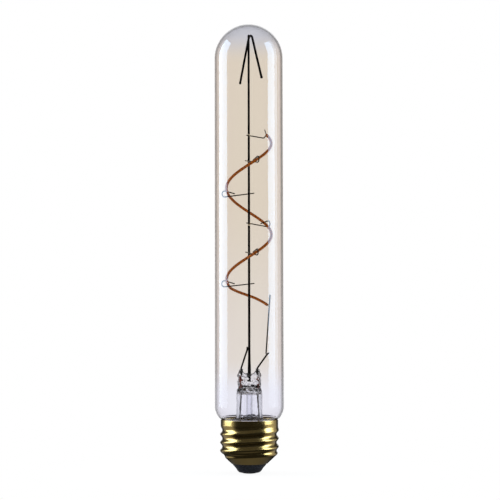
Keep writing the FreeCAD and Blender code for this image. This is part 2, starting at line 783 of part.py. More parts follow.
def build_insulator():
    body = new_body("cap_insulator")
    # Its upper part is poured into the cone of the shell and follows the cone's inner face.
    low_radius = "(cone_foot_radius - shell_sheet * 0.4)"
    low_level = "(shell_foot + shell_sheet)"
    widening = (f"((crest_radius - shell_sheet - {low_radius})"
                f" / (cone_top + shell_sheet * 0.4 - {low_level}))")
    outline = [
        ("shank_radius", "contact_lip"),
        ("nose_radius - nose_level + contact_lip", "contact_lip"),
        ("nose_radius", "nose_level"),
        ("eye_radius", "shell_foot"),
        ("eye_radius", low_level),
        (low_radius, low_level),
        (f"{low_radius} + (insulator_top - {low_level}) * {widening}", "insulator_top"),
        ("shank_radius", "insulator_top"),
    ]
    turn_outline(body, outline, "Moulded")


def build_contact():
    body = new_body("centre_contact")
    outline = [
        ("0", "0"),
        ("contact_radius - contact_lip", "0"),
        ("contact_radius", "contact_lip"),
        ("shank_radius", "contact_lip"),
        ("shank_radius", "insulator_top + shank_rise"),
        ("0", "insulator_top + shank_rise"),
    ]
    turn_outline(body, outline, "Pressed")


def build_cement():
    body = new_body("basing_cement")
    outline = [
        ("neck_radius", "cement_bottom"),
        ("collar_radius - shell_sheet", "cement_bottom"),
        ("collar_radius - shell_sheet", "cement_top"),
        ("neck_radius", "cement_top"),
    ]
    turn_outline(body, outline, "Ring")


# Driver inside the cap


def box(label, width, depth, height, x, y, z):
    """A block centred on x, with its front at y and its foot at z."""
    piece = doc.addObject("Part::Box", label)
    piece.Label = label
    for name, formula in (("Length", width), ("Width", depth), ("Height", height)):
        bind(piece, name, formula)
    put(piece, f"{x} - ({width}) / 2", y, z)
    return keep(piece)


def build_driver():
    foot = "insulator_top"
    middle = f"({foot} + board_height / 2)"
    box("driver_board", "board_width", "board_thickness", "board_height", "0", "board_setback", foot)
    chip_foot = f"({middle} - chip_height / 2 - working_gap * 4)"
    box("bridge_rectifier", "chip_width", "chip_depth", "chip_height", "-chip_spread",
        "board_setback - chip_depth", chip_foot)
    box("driver_chip", "chip_width", "chip_depth", "chip_height", "chip_spread",
        "board_setback - chip_depth", chip_foot)
    can = new_body("smoothing_capacitor")
    waist = "(capacitor_radius - working_gap)"
    turn_outline(can, [
        ("0", "0"),
        (waist, "0"),
        ("capacitor_radius", "working_gap"),
        ("capacitor_radius", "capacitor_height / 6"),
        (waist, "capacitor_height / 6 + working_gap"),
        ("capacitor_radius", "capacitor_height / 6 + 2 * working_gap"),
        ("capacitor_radius", "capacitor_height - working_gap"),
        (waist, "capacitor_height"),
        ("0", "capacitor_height"),
    ], "Can")
    put(can, "0", "board_setback + board_thickness + capacitor_radius", foot)
    resistor = new_body("fusible_resistor")
    neck = "(resistor_radius * 0.8)"
    turn_outline(resistor, [
        ("0", "0"),
        ("resistor_radius", "0"),
        ("resistor_radius", "resistor_length / 4"),
        (neck, "resistor_length / 4 + working_gap"),
        (neck, "resistor_length * 3 / 4 - working_gap"),
        ("resistor_radius", "resistor_length * 3 / 4"),
        ("resistor_radius", "resistor_length"),
        ("0", "resistor_length"),
    ], "Rod")
    put(resistor, "-resistor_offset", "board_setback + board_thickness + resistor_radius", foot)


def build_all():
    build_envelope()
    build_stem()
    build_exhaust()
    build_mast()
    build_spring()
    build_filament()
    build_hooks()
    build_leads()
    build_cap_wires()
    build_shell()
    build_insulator()
    build_contact()
    build_cement()
    build_driver()
    doc.recompute()


def check_and_write():
    for item in doc.Objects:
        troubles = [word for word in item.State if word in ("Invalid", "Error")]
        if troubles:
            raise RuntimeError(f"{item.Label} is {troubles}")
    for piece in pieces:
        shape = piece.Shape
        if shape.isNull() or not shape.isValid() or not shape.Solids:
            raise RuntimeError(f"{piece.Label} has no valid solid")
    os.makedirs("parts", exist_ok=True)
    for piece in pieces:
        piece.Shape.exportStep(os.path.join("parts", piece.Label + ".step"))


build_all()
check_and_write()
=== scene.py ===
# Tubular light bulb: the looks of its amber glass, spiral filament, wires and brass screw cap.
# Values named _mm are millimetres, angles are degrees, and the rest is in metres, in the part's own frame.
import math
import bpy
from mathutils import Matrix, Vector


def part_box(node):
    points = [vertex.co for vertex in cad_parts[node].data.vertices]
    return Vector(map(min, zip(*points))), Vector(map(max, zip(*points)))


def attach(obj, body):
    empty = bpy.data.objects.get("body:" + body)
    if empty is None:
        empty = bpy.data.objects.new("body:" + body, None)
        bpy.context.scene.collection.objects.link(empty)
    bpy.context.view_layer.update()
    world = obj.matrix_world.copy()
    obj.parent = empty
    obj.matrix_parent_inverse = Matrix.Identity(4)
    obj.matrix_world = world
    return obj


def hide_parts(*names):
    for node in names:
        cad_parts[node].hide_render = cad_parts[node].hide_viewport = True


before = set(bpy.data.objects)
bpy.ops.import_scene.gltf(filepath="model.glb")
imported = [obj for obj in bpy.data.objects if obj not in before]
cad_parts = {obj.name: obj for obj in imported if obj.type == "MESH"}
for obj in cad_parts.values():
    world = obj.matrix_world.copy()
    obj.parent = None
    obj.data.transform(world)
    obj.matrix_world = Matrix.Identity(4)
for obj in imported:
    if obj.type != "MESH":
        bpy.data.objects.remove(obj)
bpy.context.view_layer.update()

MM = 0.001

# Glass envelope
length_mm = 200.0
tube_radius_mm = 15.4
dome_radius_mm = 15.25
glass_wall_mm = 0.9
shoulder_level_mm = 30.0
shoulder_drop_mm = 4.85
shoulder_bend_mm = 8.2
shoulder_nose_mm = 2.6
neck_bend_mm = 0.7
neck_radius_mm = 11.3
neck_bottom_mm = 15.5

# Glass stem
flare_land_mm = 2.0
flare_top_mm = 27.8
stem_radius_mm = 5.8
stem_wall_mm = 1.0
stem_shoulder_mm = 35.0
stem_roof_mm = 36.0
press_rise_mm = 8.4
press_width_mm = 10.3
press_depth_mm = 4.6
horn_rise_mm = 2.0
exhaust_radius_mm = 1.5
exhaust_wall_mm = 0.6
exhaust_tip_mm = 10.5

# Mast, spring and filament
mast_radius_mm = 0.47
mast_foot_mm = 40.8
mast_top_mm = 195.5
spring_wire_mm = 0.38
spring_arch_mm = 2.8
spring_reach_mm = 13.2
spring_leg_level_mm = 175.1
spring_heading = -69.0
helix_radius_mm = 10.0
filament_radius_mm = 0.575
filament_top_mm = 151.1
helix_pitch_mm = 40.6
tail_pitch_mm = 22.0
end_pitch_mm = 28.0
start_angle = 37.0
flat_angle = 610.0
end_angle = 680.0
whole_angle = 722.0
tab_radius_mm = 0.2
upper_tab_mm = 2.6
upper_tab_angle = 65.0
lower_tab_mm = 0.9
hook_angles = [104.0, 233.5, 351.5, 466.0, 590.0]
hook_wire_mm = 0.25
hook_tail_mm = 2.3
hook_loop_mm = 1.35
hook_nose_mm = 1.6
hook_back_mm = 3.2
hook_lift_mm = 0.15
feed_tail_mm = 1.8
feed_bend_mm = 0.8
feed_dip_mm = 0.9

# Leads
lead_wire_mm = 0.39
lead_spread_mm = 3.6
seal_bottom_mm = 37.6
seal_top_mm = 43.4
left_lead_top_mm = 56.2
left_lead_heading = 165.0
link_wire_mm = 0.32
link_foot_mm = 52.9
link_foot_radius_mm = 8.75
link_rise_mm = 5.0
lead_dip_mm = 0.35
lead_tip_run_mm = 1.05
lead_tip_rise_mm = 0.85
touch_gap_mm = 0.02
flare_gap_mm = 0.3

# Drawn stouter than the solids by this much, so that they still show at the photograph's size
mast_extra_mm = 0.11
mast_foot_extra_mm = 0.17
mast_foot_level_mm = 53.0
mast_foot_run_mm = 8.0
spring_extra_mm = 0.12
filament_extra_mm = 0.05

# Beads of melted wire
bead_length_mm = 1.1
bead_radius_mm = 0.33
front_bead_radius_mm = 0.46
front_bead_inset_mm = 0.15
tip_bead_length_mm = 1.2
tip_bead_radius_mm = 0.62
tab_bead_length_mm = 1.3
tab_bead_radius_mm = 0.4

# Screw cap
sheet_mm = 0.3
collar_radius_mm = 12.8
collar_bottom_mm = 20.4
rim_mm = 24.0
crest_radius_mm = 13.1
root_radius_mm = 12.1
thread_pitch_mm = 3.629
groove_level_mm = 8.4
thread_turns = 3.0
cone_groove_mm = 0.95
cone_groove_foot_mm = 6.3
cone_groove_rise_mm = 1.6
cone_groove_end_mm = 0.6
cone_top_mm = 9.2
cone_foot_radius_mm = 7.95
shell_foot_mm = 4.35
eye_radius_mm = 7.6
insulator_top_mm = 7.05
nose_radius_mm = 5.55
nose_level_mm = 1.4
contact_radius_mm = 3.4
contact_lip_mm = 0.5
foot_gap_mm = 0.02
shank_radius_mm = 1.2
shank_rise_mm = 0.8


def linear(hex_colour):
    """An sRGB hex colour as the linear colour that a shader takes."""
    parts = [int(hex_colour[start:start + 2], 16) / 255 for start in (0, 2, 4)]
    return [part / 12.92 if part <= 0.04045 else ((part + 0.055) / 1.055) ** 2.4 for part in parts] + [1.0]


def add_node(material, kind, inputs=None, **settings):
    """Adds a node. A socket given as an input is linked, and anything else is set as its value."""
    made = material.node_tree.nodes.new("ShaderNode" + kind)
    for name, value in settings.items():
        setattr(made, name, value)
    for name, value in (inputs or {}).items():
        if isinstance(value, bpy.types.NodeSocket):
            material.node_tree.links.new(value, made.inputs[name])
        else:
            made.inputs[name].default_value = value
    return made


def new_material(name):
    material = bpy.data.materials.new(name)
    material.use_nodes = True
    material.node_tree.nodes.clear()
    return material


def finish_material(material, shader):
    output = add_node(material, "OutputMaterial")
    material.node_tree.links.new(shader, output.inputs["Surface"])
    return material


def mottled(material, patch_mm, low, high):
    """Soft patches of a size in millimetres over the surface, as a colour between two hex colours."""
    place = add_node(material, "TexCoord")
    noise = add_node(material, "TexNoise", {
        "Vector": place.outputs["Object"], "Scale": 1 / (patch_mm * MM), "Detail": 3.0,
    })
    mix = add_node(material, "Mix", {0: noise.outputs["Fac"], 6: linear(low), 7: linear(high)}, data_type="RGBA")
    return mix.outputs[2]


def bumped(material, grain_mm, height_mm, detail=2.0, stretch=(1, 1, 1)):
    """A bump of noise, from the width and the height of its grain in millimetres."""
    place = add_node(material, "TexCoord")
    sized = add_node(material, "Mapping", {"Vector": place.outputs["Object"], "Scale": stretch})
    noise = add_node(material, "TexNoise", {
        "Vector": sized.outputs["Vector"], "Scale": 1 / (grain_mm * MM), "Detail": detail,
    })
    bump = add_node(material, "Bump", {"Height": noise.outputs["Fac"], "Distance": height_mm * MM, "Strength": 1.0})
    return bump.outputs["Normal"]


def plain_finish(name, mottle, sockets, bump=None):
    """A material of one shader, from a mottle's patch and two colours and a bump's grain and height, in mm."""
    material = new_material(name)
    inputs = {"Base Color": mottled(material, *mottle), **sockets}
    if bump:
        inputs["Normal"] = bumped(material, *bump)
    shader = add_node(material, "BsdfPrincipled", inputs)
    return finish_material(material, shader.outputs[0])


def make_amber_glass():
    """Soda-lime tube, sprayed outside with a thin amber lustre that fades out above the neck.

    It gives a clear warm tint, deeper at the edges where the eye looks along the coat and greyer on the crown.
    The deepening at the edges is partly the longer way through the coat and partly painted shade,
    which darkens the edges of the bare glass too.
    What the coat keeps from passing it sends back, so the outside face mirrors cool and more than bare glass.
    The inside face mirrors nothing, so the two walls don't double each stripe.
    """
    film_share = 0.6
    material = new_material("soda_lime_glass_amber_lustre")
    place = add_node(material, "TexCoord")
    axes = add_node(material, "SeparateXYZ", {"Vector": place.outputs["Object"]})
    ramps = []
    for foot_mm, head_mm, share in ((34.0, 52.0, 0.65), (50.0, 130.0, 0.35), (183.0, 197.0, 1.0)):
        ramps.append(add_node(material, "MapRange", {
            "Value": axes.outputs["Z"], "From Min": foot_mm * MM, "From Max": head_mm * MM, "To Max": share,
        }, interpolation_type="SMOOTHSTEP").outputs["Result"])
    low, high, crown = ramps
    fade = add_node(material, "Math", {0: low, 1: high}, operation="ADD")
    # Partly painted shade: the coat and the bare glass both darken where the eye looks along them
    facing = add_node(material, "LayerWeight", {"Blend": 0.16})
    coat = add_node(material, "Mix", {0: facing.outputs["Facing"], 6: linear("efe9e0"), 7: linear("ebd8dd")},
                    data_type="RGBA")
    bare = add_node(material, "Mix", {0: facing.outputs["Facing"], 6: linear("f4f4f9"), 7: linear("dbd5e0")},
                    data_type="RGBA")
    tube = add_node(material, "Mix", {0: fade.outputs[0], 6: bare.outputs[2], 7: coat.outputs[2]},
                    data_type="RGBA")
    colour = add_node(material, "Mix", {0: crown, 6: tube.outputs[2], 7: linear("e3e4ea")}, data_type="RGBA")
    lustre = add_node(material, "Mix", {0: fade.outputs[0], 6: linear("6c6c70"), 7: linear("aadaff")},
                      data_type="RGBA")
    # The outside face: farther out than the middle of the wall, or below the shoulder, and seen from outside
    rise = add_node(material, "Math", {0: axes.outputs["Z"], 1: (length_mm - dome_radius_mm) * MM},
                    operation="SUBTRACT")
    above = add_node(material, "Math", {0: rise.outputs[0], 1: 0.0}, operation="MAXIMUM")
    spoke = add_node(material, "CombineXYZ", {"X": axes.outputs["X"], "Y": axes.outputs["Y"],
                                              "Z": above.outputs[0]})
    reach = add_node(material, "VectorMath", {0: spoke.outputs[0]}, operation="LENGTH")
    skin = add_node(material, "Math", {0: reach.outputs["Value"], 1: (tube_radius_mm - glass_wall_mm / 2) * MM},
                    operation="GREATER_THAN")
    neck = add_node(material, "Math", {0: axes.outputs["Z"], 1: shoulder_level_mm * MM}, operation="LESS_THAN")
    outside = add_node(material, "Math", {0: skin.outputs[0], 1: neck.outputs[0]}, operation="MAXIMUM")
    inward = add_node(material, "NewGeometry").outputs["Backfacing"]
    outer = add_node(material, "Math", {0: outside.outputs[0], 1: inward}, operation="SUBTRACT", use_clamp=True)
    mirror = add_node(material, "Mix", {0: outer.outputs[0], 6: linear("000000"), 7: lustre.outputs[2]},
                      data_type="RGBA")
    thick = add_node(material, "Math", {0: fade.outputs[0], 1: film_share}, operation="MULTIPLY")
    film = add_node(material, "Math", {0: outer.outputs[0], 1: thick.outputs[0]}, operation="MULTIPLY")
    shader = add_node(material, "BsdfPrincipled", {
        "Base Color": colour.outputs[2], "Roughness": 0.0, "IOR": 1.5, "Transmission Weight": 1.0,
        "Specular IOR Level": 1.0, "Specular Tint": mirror.outputs[2],
        "Coat Weight": film.outputs[0], "Coat IOR": 1.5, "Coat Roughness": 0.0,
    })
    return finish_material(material, shader.outputs[0])


def make_clear_glass():
    """Lead glass, flame-worked: clear and wavy, most where it was pressed, so it bends what lies behind it.

    Brown-black flecks in the crease below the press are painted shade, and so is the brown-black that the pressed
    glass turns towards its outline. The length of the waves is matched to the photograph. The specks are drawn
    over a millimetre wide, because real ones are too fine to show.
    """
    wave_mm, wave_height_mm, painted_fleck_mm = 1.923, 1.3, 1.176
    material = new_material("lead_glass_flame_worked")
    place = add_node(material, "TexCoord")
    axes = add_node(material, "SeparateXYZ", {"Vector": place.outputs["Object"]})
    pressed = add_node(material, "MapRange", {
        "Value": axes.outputs["Z"], "From Min": 35.0 * MM, "From Max": 38.0 * MM, "To Min": 0.06,
    })
    noise = add_node(material, "TexNoise", {
        "Vector": place.outputs["Object"], "Scale": 1 / (wave_mm * MM), "Detail": 1.5,
    })
    waves = add_node(material, "Math", {0: noise.outputs["Fac"], 1: pressed.outputs["Result"]},
                     operation="MULTIPLY")
    bump = add_node(material, "Bump", {"Height": waves.outputs[0], "Distance": wave_height_mm * MM, "Strength": 1.0})
    # Painted shade: the pressed glass darkens to brown-black towards its outline
    facing = add_node(material, "LayerWeight", {"Blend": 0.16})
    deep = add_node(material, "Math", {0: facing.outputs["Facing"], 1: pressed.outputs["Result"]},
                    operation="MULTIPLY")
    tint = add_node(material, "Mix", {0: deep.outputs[0], 6: linear("fcfcff"), 7: linear("201a12")},
                    data_type="RGBA")
    # Painted shade: brown-black flecks in the crease below the press
    ramps = []
    for foot_mm, head_mm, start, end in ((36.0, 37.0, 0.0, 1.0), (38.5, 40.2, 1.0, 0.0)):
        ramps.append(add_node(material, "MapRange", {
            "Value": axes.outputs["Z"], "From Min": foot_mm * MM, "From Max": head_mm * MM,
            "To Min": start, "To Max": end,
        }, interpolation_type="SMOOTHSTEP").outputs["Result"])
    crease = add_node(material, "Math", {0: ramps[0], 1: ramps[1]}, operation="MULTIPLY")
    grain = add_node(material, "TexNoise", {
        "Vector": place.outputs["Object"], "Scale": 1 / (painted_fleck_mm * MM), "Detail": 1.0,
    })
    painted_shade_flecks = add_node(material, "MapRange", {
        "Value": grain.outputs["Fac"], "From Min": 0.51, "From Max": 0.56, "To Max": crease.outputs[0],
    })
    colour = add_node(material, "Mix", {0: painted_shade_flecks.outputs["Result"], 6: tint.outputs[2], 7: linear("120c06")},
                      data_type="RGBA")
    shader = add_node(material, "BsdfPrincipled", {
        "Base Color": colour.outputs[2], "Roughness": 0.0, "IOR": 1.5, "Transmission Weight": 1.0,
        "Specular IOR Level": 0.3, "Normal": bump.outputs["Normal"],
    })
    return finish_material(material, shader.outputs[0])


def make_filament_coat():
    """Silicone filled with amber phosphor over a row of chips 1.4 mm apart: orange-brown with darker steps.

    A little painted glow in its own colour lifts it above what the lamps alone give. Its grains are microns
    wide, so they are drawn as patches of 0.83 mm.
    """
    chip_step_mm = 1.4
    material = new_material("phosphor_silicone_coat")
    along = add_node(material, "UVMap", uv_map="length")
    axes = add_node(material, "SeparateXYZ", {"Vector": along.outputs["UV"]})
    steps = add_node(material, "Math", {0: axes.outputs["X"], 1: 2 * math.pi / (chip_step_mm * MM)},
                     operation="MULTIPLY")
    wave = add_node(material, "Math", {0: steps.outputs[0]}, operation="SINE")
    chips = add_node(material, "MapRange", {"Value": wave.outputs[0], "From Min": -0.2, "From Max": 0.9})
    coat = mottled(material, 0.833, "bc6004", "d88018")
    colour = add_node(material, "Mix", {0: chips.outputs["Result"], 6: coat, 7: linear("9c4a02")},
                      data_type="RGBA")
    # Painted glow: the coat emits a little light in its own colour, though it is no lamp
    shader = add_node(material, "BsdfPrincipled", {
        "Base Color": colour.outputs[2], "Roughness": 0.35, "Specular IOR Level": 0.4,
        "Emission Color": colour.outputs[2], "Emission Strength": 0.05,
        "Normal": bumped(material, 0.667, 0.02),
    })
    return finish_material(material, shader.outputs[0])


def make_brass():
    """Cap brass, deep drawn, rolled and lacquered: polished yellow with faint rings from the rolling.

    Painted shade turns it brown-black where the eye looks along it. The rings are 0.19 mm apart and run for 5.6 mm.
    """
    material = new_material("brass_rolled_lacquered")
    # Painted shade: the colour darkens to brown-black at the grazing edges
    facing = add_node(material, "LayerWeight", {"Blend": 0.42})
    colour = add_node(material, "Mix", {0: facing.outputs["Facing"], 6: mottled(material, 2.857, "dcbd70", "ebcd88"),
                                        7: linear("2e2412")}, data_type="RGBA")
    shader = add_node(material, "BsdfPrincipled", {
        "Base Color": colour.outputs[2], "Metallic": 1.0, "Roughness": 0.2,
        "Normal": bumped(material, 1.111, 0.012, 3.0, (0.2, 0.2, 6)),
    })
    return finish_material(material, shader.outputs[0])


amber_glass = make_amber_glass()
clear_glass = make_clear_glass()

# The wires' own grain is microns wide. It is drawn 0.2 or 0.25 mm wide, so that it dulls their gloss in the render.

# Steel wire, oxidised black: nearly no colour, a soft sheen along its length.
dark_wire = plain_finish("steel_wire_black_oxide", (1.111, "040302", "0d0b09"),
                         {"Roughness": 0.6, "Specular IOR Level": 0.04}, (0.25, 0.01))

# Drawn nickel wire: grey with a satin gloss and the faint grain of the die.
nickel_wire = plain_finish("nickel_wire_drawn", (1.429, "1f1d19", "423e37"),
                           {"Metallic": 1.0, "Roughness": 0.35}, (0.2, 0.008))

# Nickel lead, annealed in the sealing fire: the same wire turned brown-black.
dark_nickel = plain_finish("nickel_wire_fired", (1.429, "0c0a07", "1e1a15"),
                           {"Metallic": 1.0, "Roughness": 0.45}, (0.2, 0.008))

# Nickel melted by the spot weld, with lumps a third of a millimetre wide. It is painted brighter, as a painted glint
# on the weld.
weld_metal_painted_glint = plain_finish("nickel_spot_weld_painted_glint", (0.4, "b9b4a2", "efe9d4"),
                          {"Metallic": 0.2, "Roughness": 0.4}, (0.333, 0.03))

# Copper-clad seal wire under borated glass: red-brown and dull.
copper_clad = plain_finish("copper_clad_seal_wire", (0.667, "5e1f10", "a0452c"),
                           {"Metallic": 0.5, "Roughness": 0.4})

filament_coat = make_filament_coat()
brass = make_brass()

# Black pressed glass insulator: deep blue-black with a wet gloss and the 1.4 mm ripple of a cooling melt.
black_glass = plain_finish("black_pressed_glass", (2.0, "101216", "1b1e24"), {"Roughness": 0.22}, (1.429, 0.02))

# Nickel-plated eyelet with a flow of solder, rippled at 0.67 mm: silver-grey, soft gloss.
contact_metal = plain_finish("nickel_plate_and_solder", (0.556, "55524d", "7d7a73"),
                             {"Metallic": 1.0, "Roughness": 0.35}, (0.667, 0.04))

# Baked basing cement: sandy brown and matt, with quarter-millimetre grit.
cement = plain_finish("phenolic_basing_cement", (0.4, "8c7350", "b59a70"), {"Roughness": 0.85}, (0.25, 0.05))

# Glass-epoxy board under green solder mask: satin green, mottled by the 1.1 mm weave below.
board_epoxy = plain_finish("epoxy_board_solder_mask", (1.111, "12492a", "1d6038"),
                           {"Roughness": 0.4, "Coat Weight": 0.3})

# Moulded epoxy of a chip: charcoal and matt, with the mould's fine grain drawn 0.17 mm wide.
chip_black = plain_finish("moulded_epoxy_black", (0.333, "17181a", "242528"), {"Roughness": 0.6}, (0.167, 0.01))

# Shrunk PVC sleeve: dark blue and glossy.
sleeve = plain_finish("pvc_sleeve_blue", (1.667, "16204a", "1f2c5e"), {"Roughness": 0.25})

# Dipped ceramic resistor body: pale grey-green, semi-matt.
resistor_body = plain_finish("dipped_ceramic_body", (0.5, "8f9c8b", "aab5a3"), {"Roughness": 0.5})


def new_piece(name, points, faces, material, sharp=40, replaces=()):
    """A mesh piece from points in millimetres. It rides on the bulb's one body."""
    mesh = bpy.data.meshes.new(name)
    mesh.from_pydata([Vector(point) * MM for point in points], [], faces)
    mesh.update()
    piece = bpy.data.objects.new(name, mesh)
    bpy.context.collection.objects.link(piece)
    mesh.materials.append(material)
    mesh.shade_smooth()
    mesh.set_sharp_from_angle(angle=math.radians(sharp))
    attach(piece, "root")
    if replaces:
        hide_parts(*replaces)
    return piece


def arc(centre, radius, start, end, steps):
    """Points on an arc of an outline, angles in degrees from outwards towards up."""
    angles = [math.radians(start + (end - start) * step / steps) for step in range(steps + 1)]
    return [(centre[0] + radius * math.cos(a), centre[1] + radius * math.sin(a)) for a in angles]


def turned(outline, sides):
    """Points and faces of a closed outline of (radius, level) turned about Z. A radius of 0 is one point."""
    points, rings, faces = [], [], []
    for radius, level in outline:
        first = len(points)
        count = 1 if radius < 1e-6 else sides
        for side in range(count):
            angle = 2 * math.pi * side / sides
            points.append((radius * math.cos(angle), radius * math.sin(angle), level))
        rings.append([first + side % count for side in range(sides + 1)])
    for lower, upper in zip(rings, rings[1:] + rings[:1]):
        for side in range(sides):
            corners = [lower[side], lower[side + 1], upper[side + 1], upper[side]]
            unique = list(dict.fromkeys(corners))
            if len(unique) > 2:
                faces.append(unique)
    return points, faces


def turned_piece(name, outline, material, sides=128, sharp=40, replaces=()):
    points, faces = turned(outline, sides)
    return new_piece(name, points, faces, material, sharp, replaces)


def wire_mesh(path, radii, sides=14, rounding=0.3):
    """Points, faces and lengths of a round wire with slightly rounded ends along a path in millimetres."""
    path = [Vector(point) for point in path]
    ways = []
    for number in range(len(path)):
        before = path[max(number - 1, 0)]
        after = path[min(number + 1, len(path) - 1)]
        ways.append((after - before).normalized())
    across = ways[0].orthogonal().normalized()
    rings = []
    run = 0.0
    for number, (spot, way) in enumerate(zip(path, ways)):
        across = (across - way * across.dot(way)).normalized()
        if number:
            run += (spot - path[number - 1]).length
        rings.append((spot, way, across.copy(), radii[number], run))
    spot, way, side, wide, run_at = rings[0]
    lip = wide * rounding
    rings[0] = (spot + way * lip, way, side, wide, lip)
    rings.insert(0, (spot, way, side, wide - lip, 0.0))
    spot, way, side, wide, run_at = rings[-1]
    rings[-1] = (spot - way * lip, way, side, wide, run_at - lip)
    rings.append((spot, way, side, wide - lip, run_at))
    points, faces, runs = [], [], []
    for spot, way, side, wide, run_at in rings:
        other = way.cross(side)
        for step in range(sides):
            angle = 2 * math.pi * step / sides
            points.append(spot + side * wide * math.cos(angle) + other * wide * math.sin(angle))
            runs.append((run_at, step / sides))
    for ring in range(len(rings) - 1):
        for step in range(sides):
            after = (step + 1) % sides
            faces.append((ring * sides + step, ring * sides + after,
                          (ring + 1) * sides + after, (ring + 1) * sides + step))
    faces.append(tuple(reversed(range(sides))))
    faces.append(tuple(range(len(points) - sides, len(points))))
    return points, faces, runs


def wire_piece(name, path, radius, material, sides=14, replaces=()):
    points, faces, runs = wire_mesh(path, [radius] * len(path), sides)
    piece = new_piece(name, points, faces, material, 50, replaces)
    layer = piece.data.uv_layers.new(name="length")
    for loop in piece.data.loops:
        run_at, share = runs[loop.vertex_index]
        layer.data[loop.index].uv = (run_at * MM, share)
    return piece


def rounded_route(corners, bends, steps=8):
    """A route through corners in millimetres, with each inner corner rounded to its bend radius."""
    corners = [Vector(corner) for corner in corners]
    route = [corners[0]]
    for before, corner, after, bend in zip(corners, corners[1:], corners[2:], bends):
        way_in = (corner - before).normalized()
        way_out = (after - corner).normalized()
        half = way_in.angle(way_out) / 2
        start = corner - way_in * bend * math.tan(half)
        inward = (way_out - way_in).normalized()
        centre = corner + inward * bend / math.cos(half)
        spoke = start - centre
        for step in range(steps + 1):
            share = step / steps
            turn = Matrix.Rotation(2 * half * share, 3, way_in.cross(way_out).normalized())
            route.append(centre + turn @ spoke)
    route.append(corners[-1])
    return route


def build_envelope():
    """The blown tube, with both its faces and the cut edge of the neck."""
    lean = math.asin(shoulder_drop_mm / shoulder_bend_mm)
    bend_centre = (tube_radius_mm - shoulder_bend_mm, shoulder_level_mm)
    step_in = shoulder_bend_mm - shoulder_nose_mm
    nose_centre = (bend_centre[0] + step_in * math.cos(lean), bend_centre[1] - step_in * math.sin(lean))
    reach = shoulder_nose_mm + neck_bend_mm
    share = (neck_radius_mm + neck_bend_mm - nose_centre[0]) / reach
    low = math.degrees(math.acos(share))
    neck_centre = (neck_radius_mm + neck_bend_mm, nose_centre[1] - reach * math.sin(math.radians(low)))
    dome_centre = (0, length_mm - dome_radius_mm)
    straight_steps = 40

    def face(inset):
        outline = [(neck_radius_mm - inset, neck_bottom_mm)]
        outline += arc(neck_centre, neck_bend_mm + inset, 180, 180 - low, 8)
        outline += arc(nose_centre, shoulder_nose_mm - inset, -low, -math.degrees(lean), 10)[1:]
        outline += arc(bend_centre, shoulder_bend_mm - inset, -math.degrees(lean), 0, 12)[1:]
        foot, head = shoulder_level_mm, dome_centre[1]
        for step in range(1, straight_steps):
            share_up = step / straight_steps
            radius = tube_radius_mm + (dome_radius_mm - tube_radius_mm) * share_up
            outline.append((radius - inset, foot + (head - foot) * share_up))
        outline += arc(dome_centre, dome_radius_mm - inset, 0, 90, 32)
        return outline[:-1] + [(0, length_mm - inset)]

    outside = face(0)
    inside = face(glass_wall_mm)
    turned_piece("glass_tube", outside + inside[::-1], amber_glass, 160, 60, ("glass_envelope",))


def build_stem():
    """The flare, its tube and the press, melted into one by a fine remesh.

    The press is waved by two patterns that don't keep step, so it looks squeezed while soft.
    """
    melt_grain_mm = 0.24
    chamfer_in_mm, chamfer_up_mm = 0.6, 0.8
    wave_foot_mm, wave_rise_mm = 35.6, 1.2
    cross_wave_mm, level_wave_mm = 0.20, 0.15
    land_top = neck_bottom_mm + flare_land_mm
    land_radius = neck_radius_mm - glass_wall_mm
    drop = flare_top_mm - land_top
    spread = land_radius - stem_radius_mm
    flare_bend = (drop ** 2 + spread ** 2) / (2 * spread)
    flare_centre = (stem_radius_mm + flare_bend, flare_top_mm)
    low = math.degrees(math.asin(drop / flare_bend))
    roof_bend = stem_radius_mm - press_depth_mm / 2
    outline = [(land_radius - stem_wall_mm, neck_bottom_mm), (land_radius, neck_bottom_mm)]
    outline += arc(flare_centre, flare_bend, 180 + low, 180, 14)
    outline += arc((stem_radius_mm - roof_bend, stem_shoulder_mm), roof_bend, 0, 90, 10)
    outline += [(0, stem_shoulder_mm + roof_bend), (0, stem_roof_mm)]
    outline += [(stem_radius_mm - stem_wall_mm - chamfer_in_mm, stem_roof_mm)]
    outline += [(stem_radius_mm - stem_wall_mm, stem_roof_mm - chamfer_up_mm)]
    outline += arc(flare_centre, flare_bend + stem_wall_mm, 180, 180 + low - 1, 14)
    points, faces = turned(outline, 72)
    add_press(points, faces)
    stem = new_piece("glass_flare_and_press", points, faces, clear_glass, 180, ("glass_stem",))
    melt = stem.modifiers.new("melt", "REMESH")
    melt.mode = "VOXEL"
    melt.voxel_size = melt_grain_mm * MM
    melt.use_smooth_shade = True
    soften = stem.modifiers.new("soften", "SMOOTH")
    soften.iterations = 6
    soften.factor = 0.5
    apply_modifiers(stem)
    moved = []
    for vertex in stem.data.vertices:
        level, aside = vertex.co.z / MM, vertex.co.x / MM
        share = smooth_step((level - wave_foot_mm) / wave_rise_mm)
        across = math.sin(aside * 2.3 + 0.9) * math.sin(level * 1.9 + 0.4)
        along = math.sin(level * 2.9 + aside * 1.1 + (1.7 if vertex.co.y > 0 else 0.0))
        moved.extend(vertex.co + vertex.normal * MM * share * (cross_wave_mm * across + level_wave_mm * along))
    stem.data.vertices.foreach_set("co", moved)
    stem.data.update()


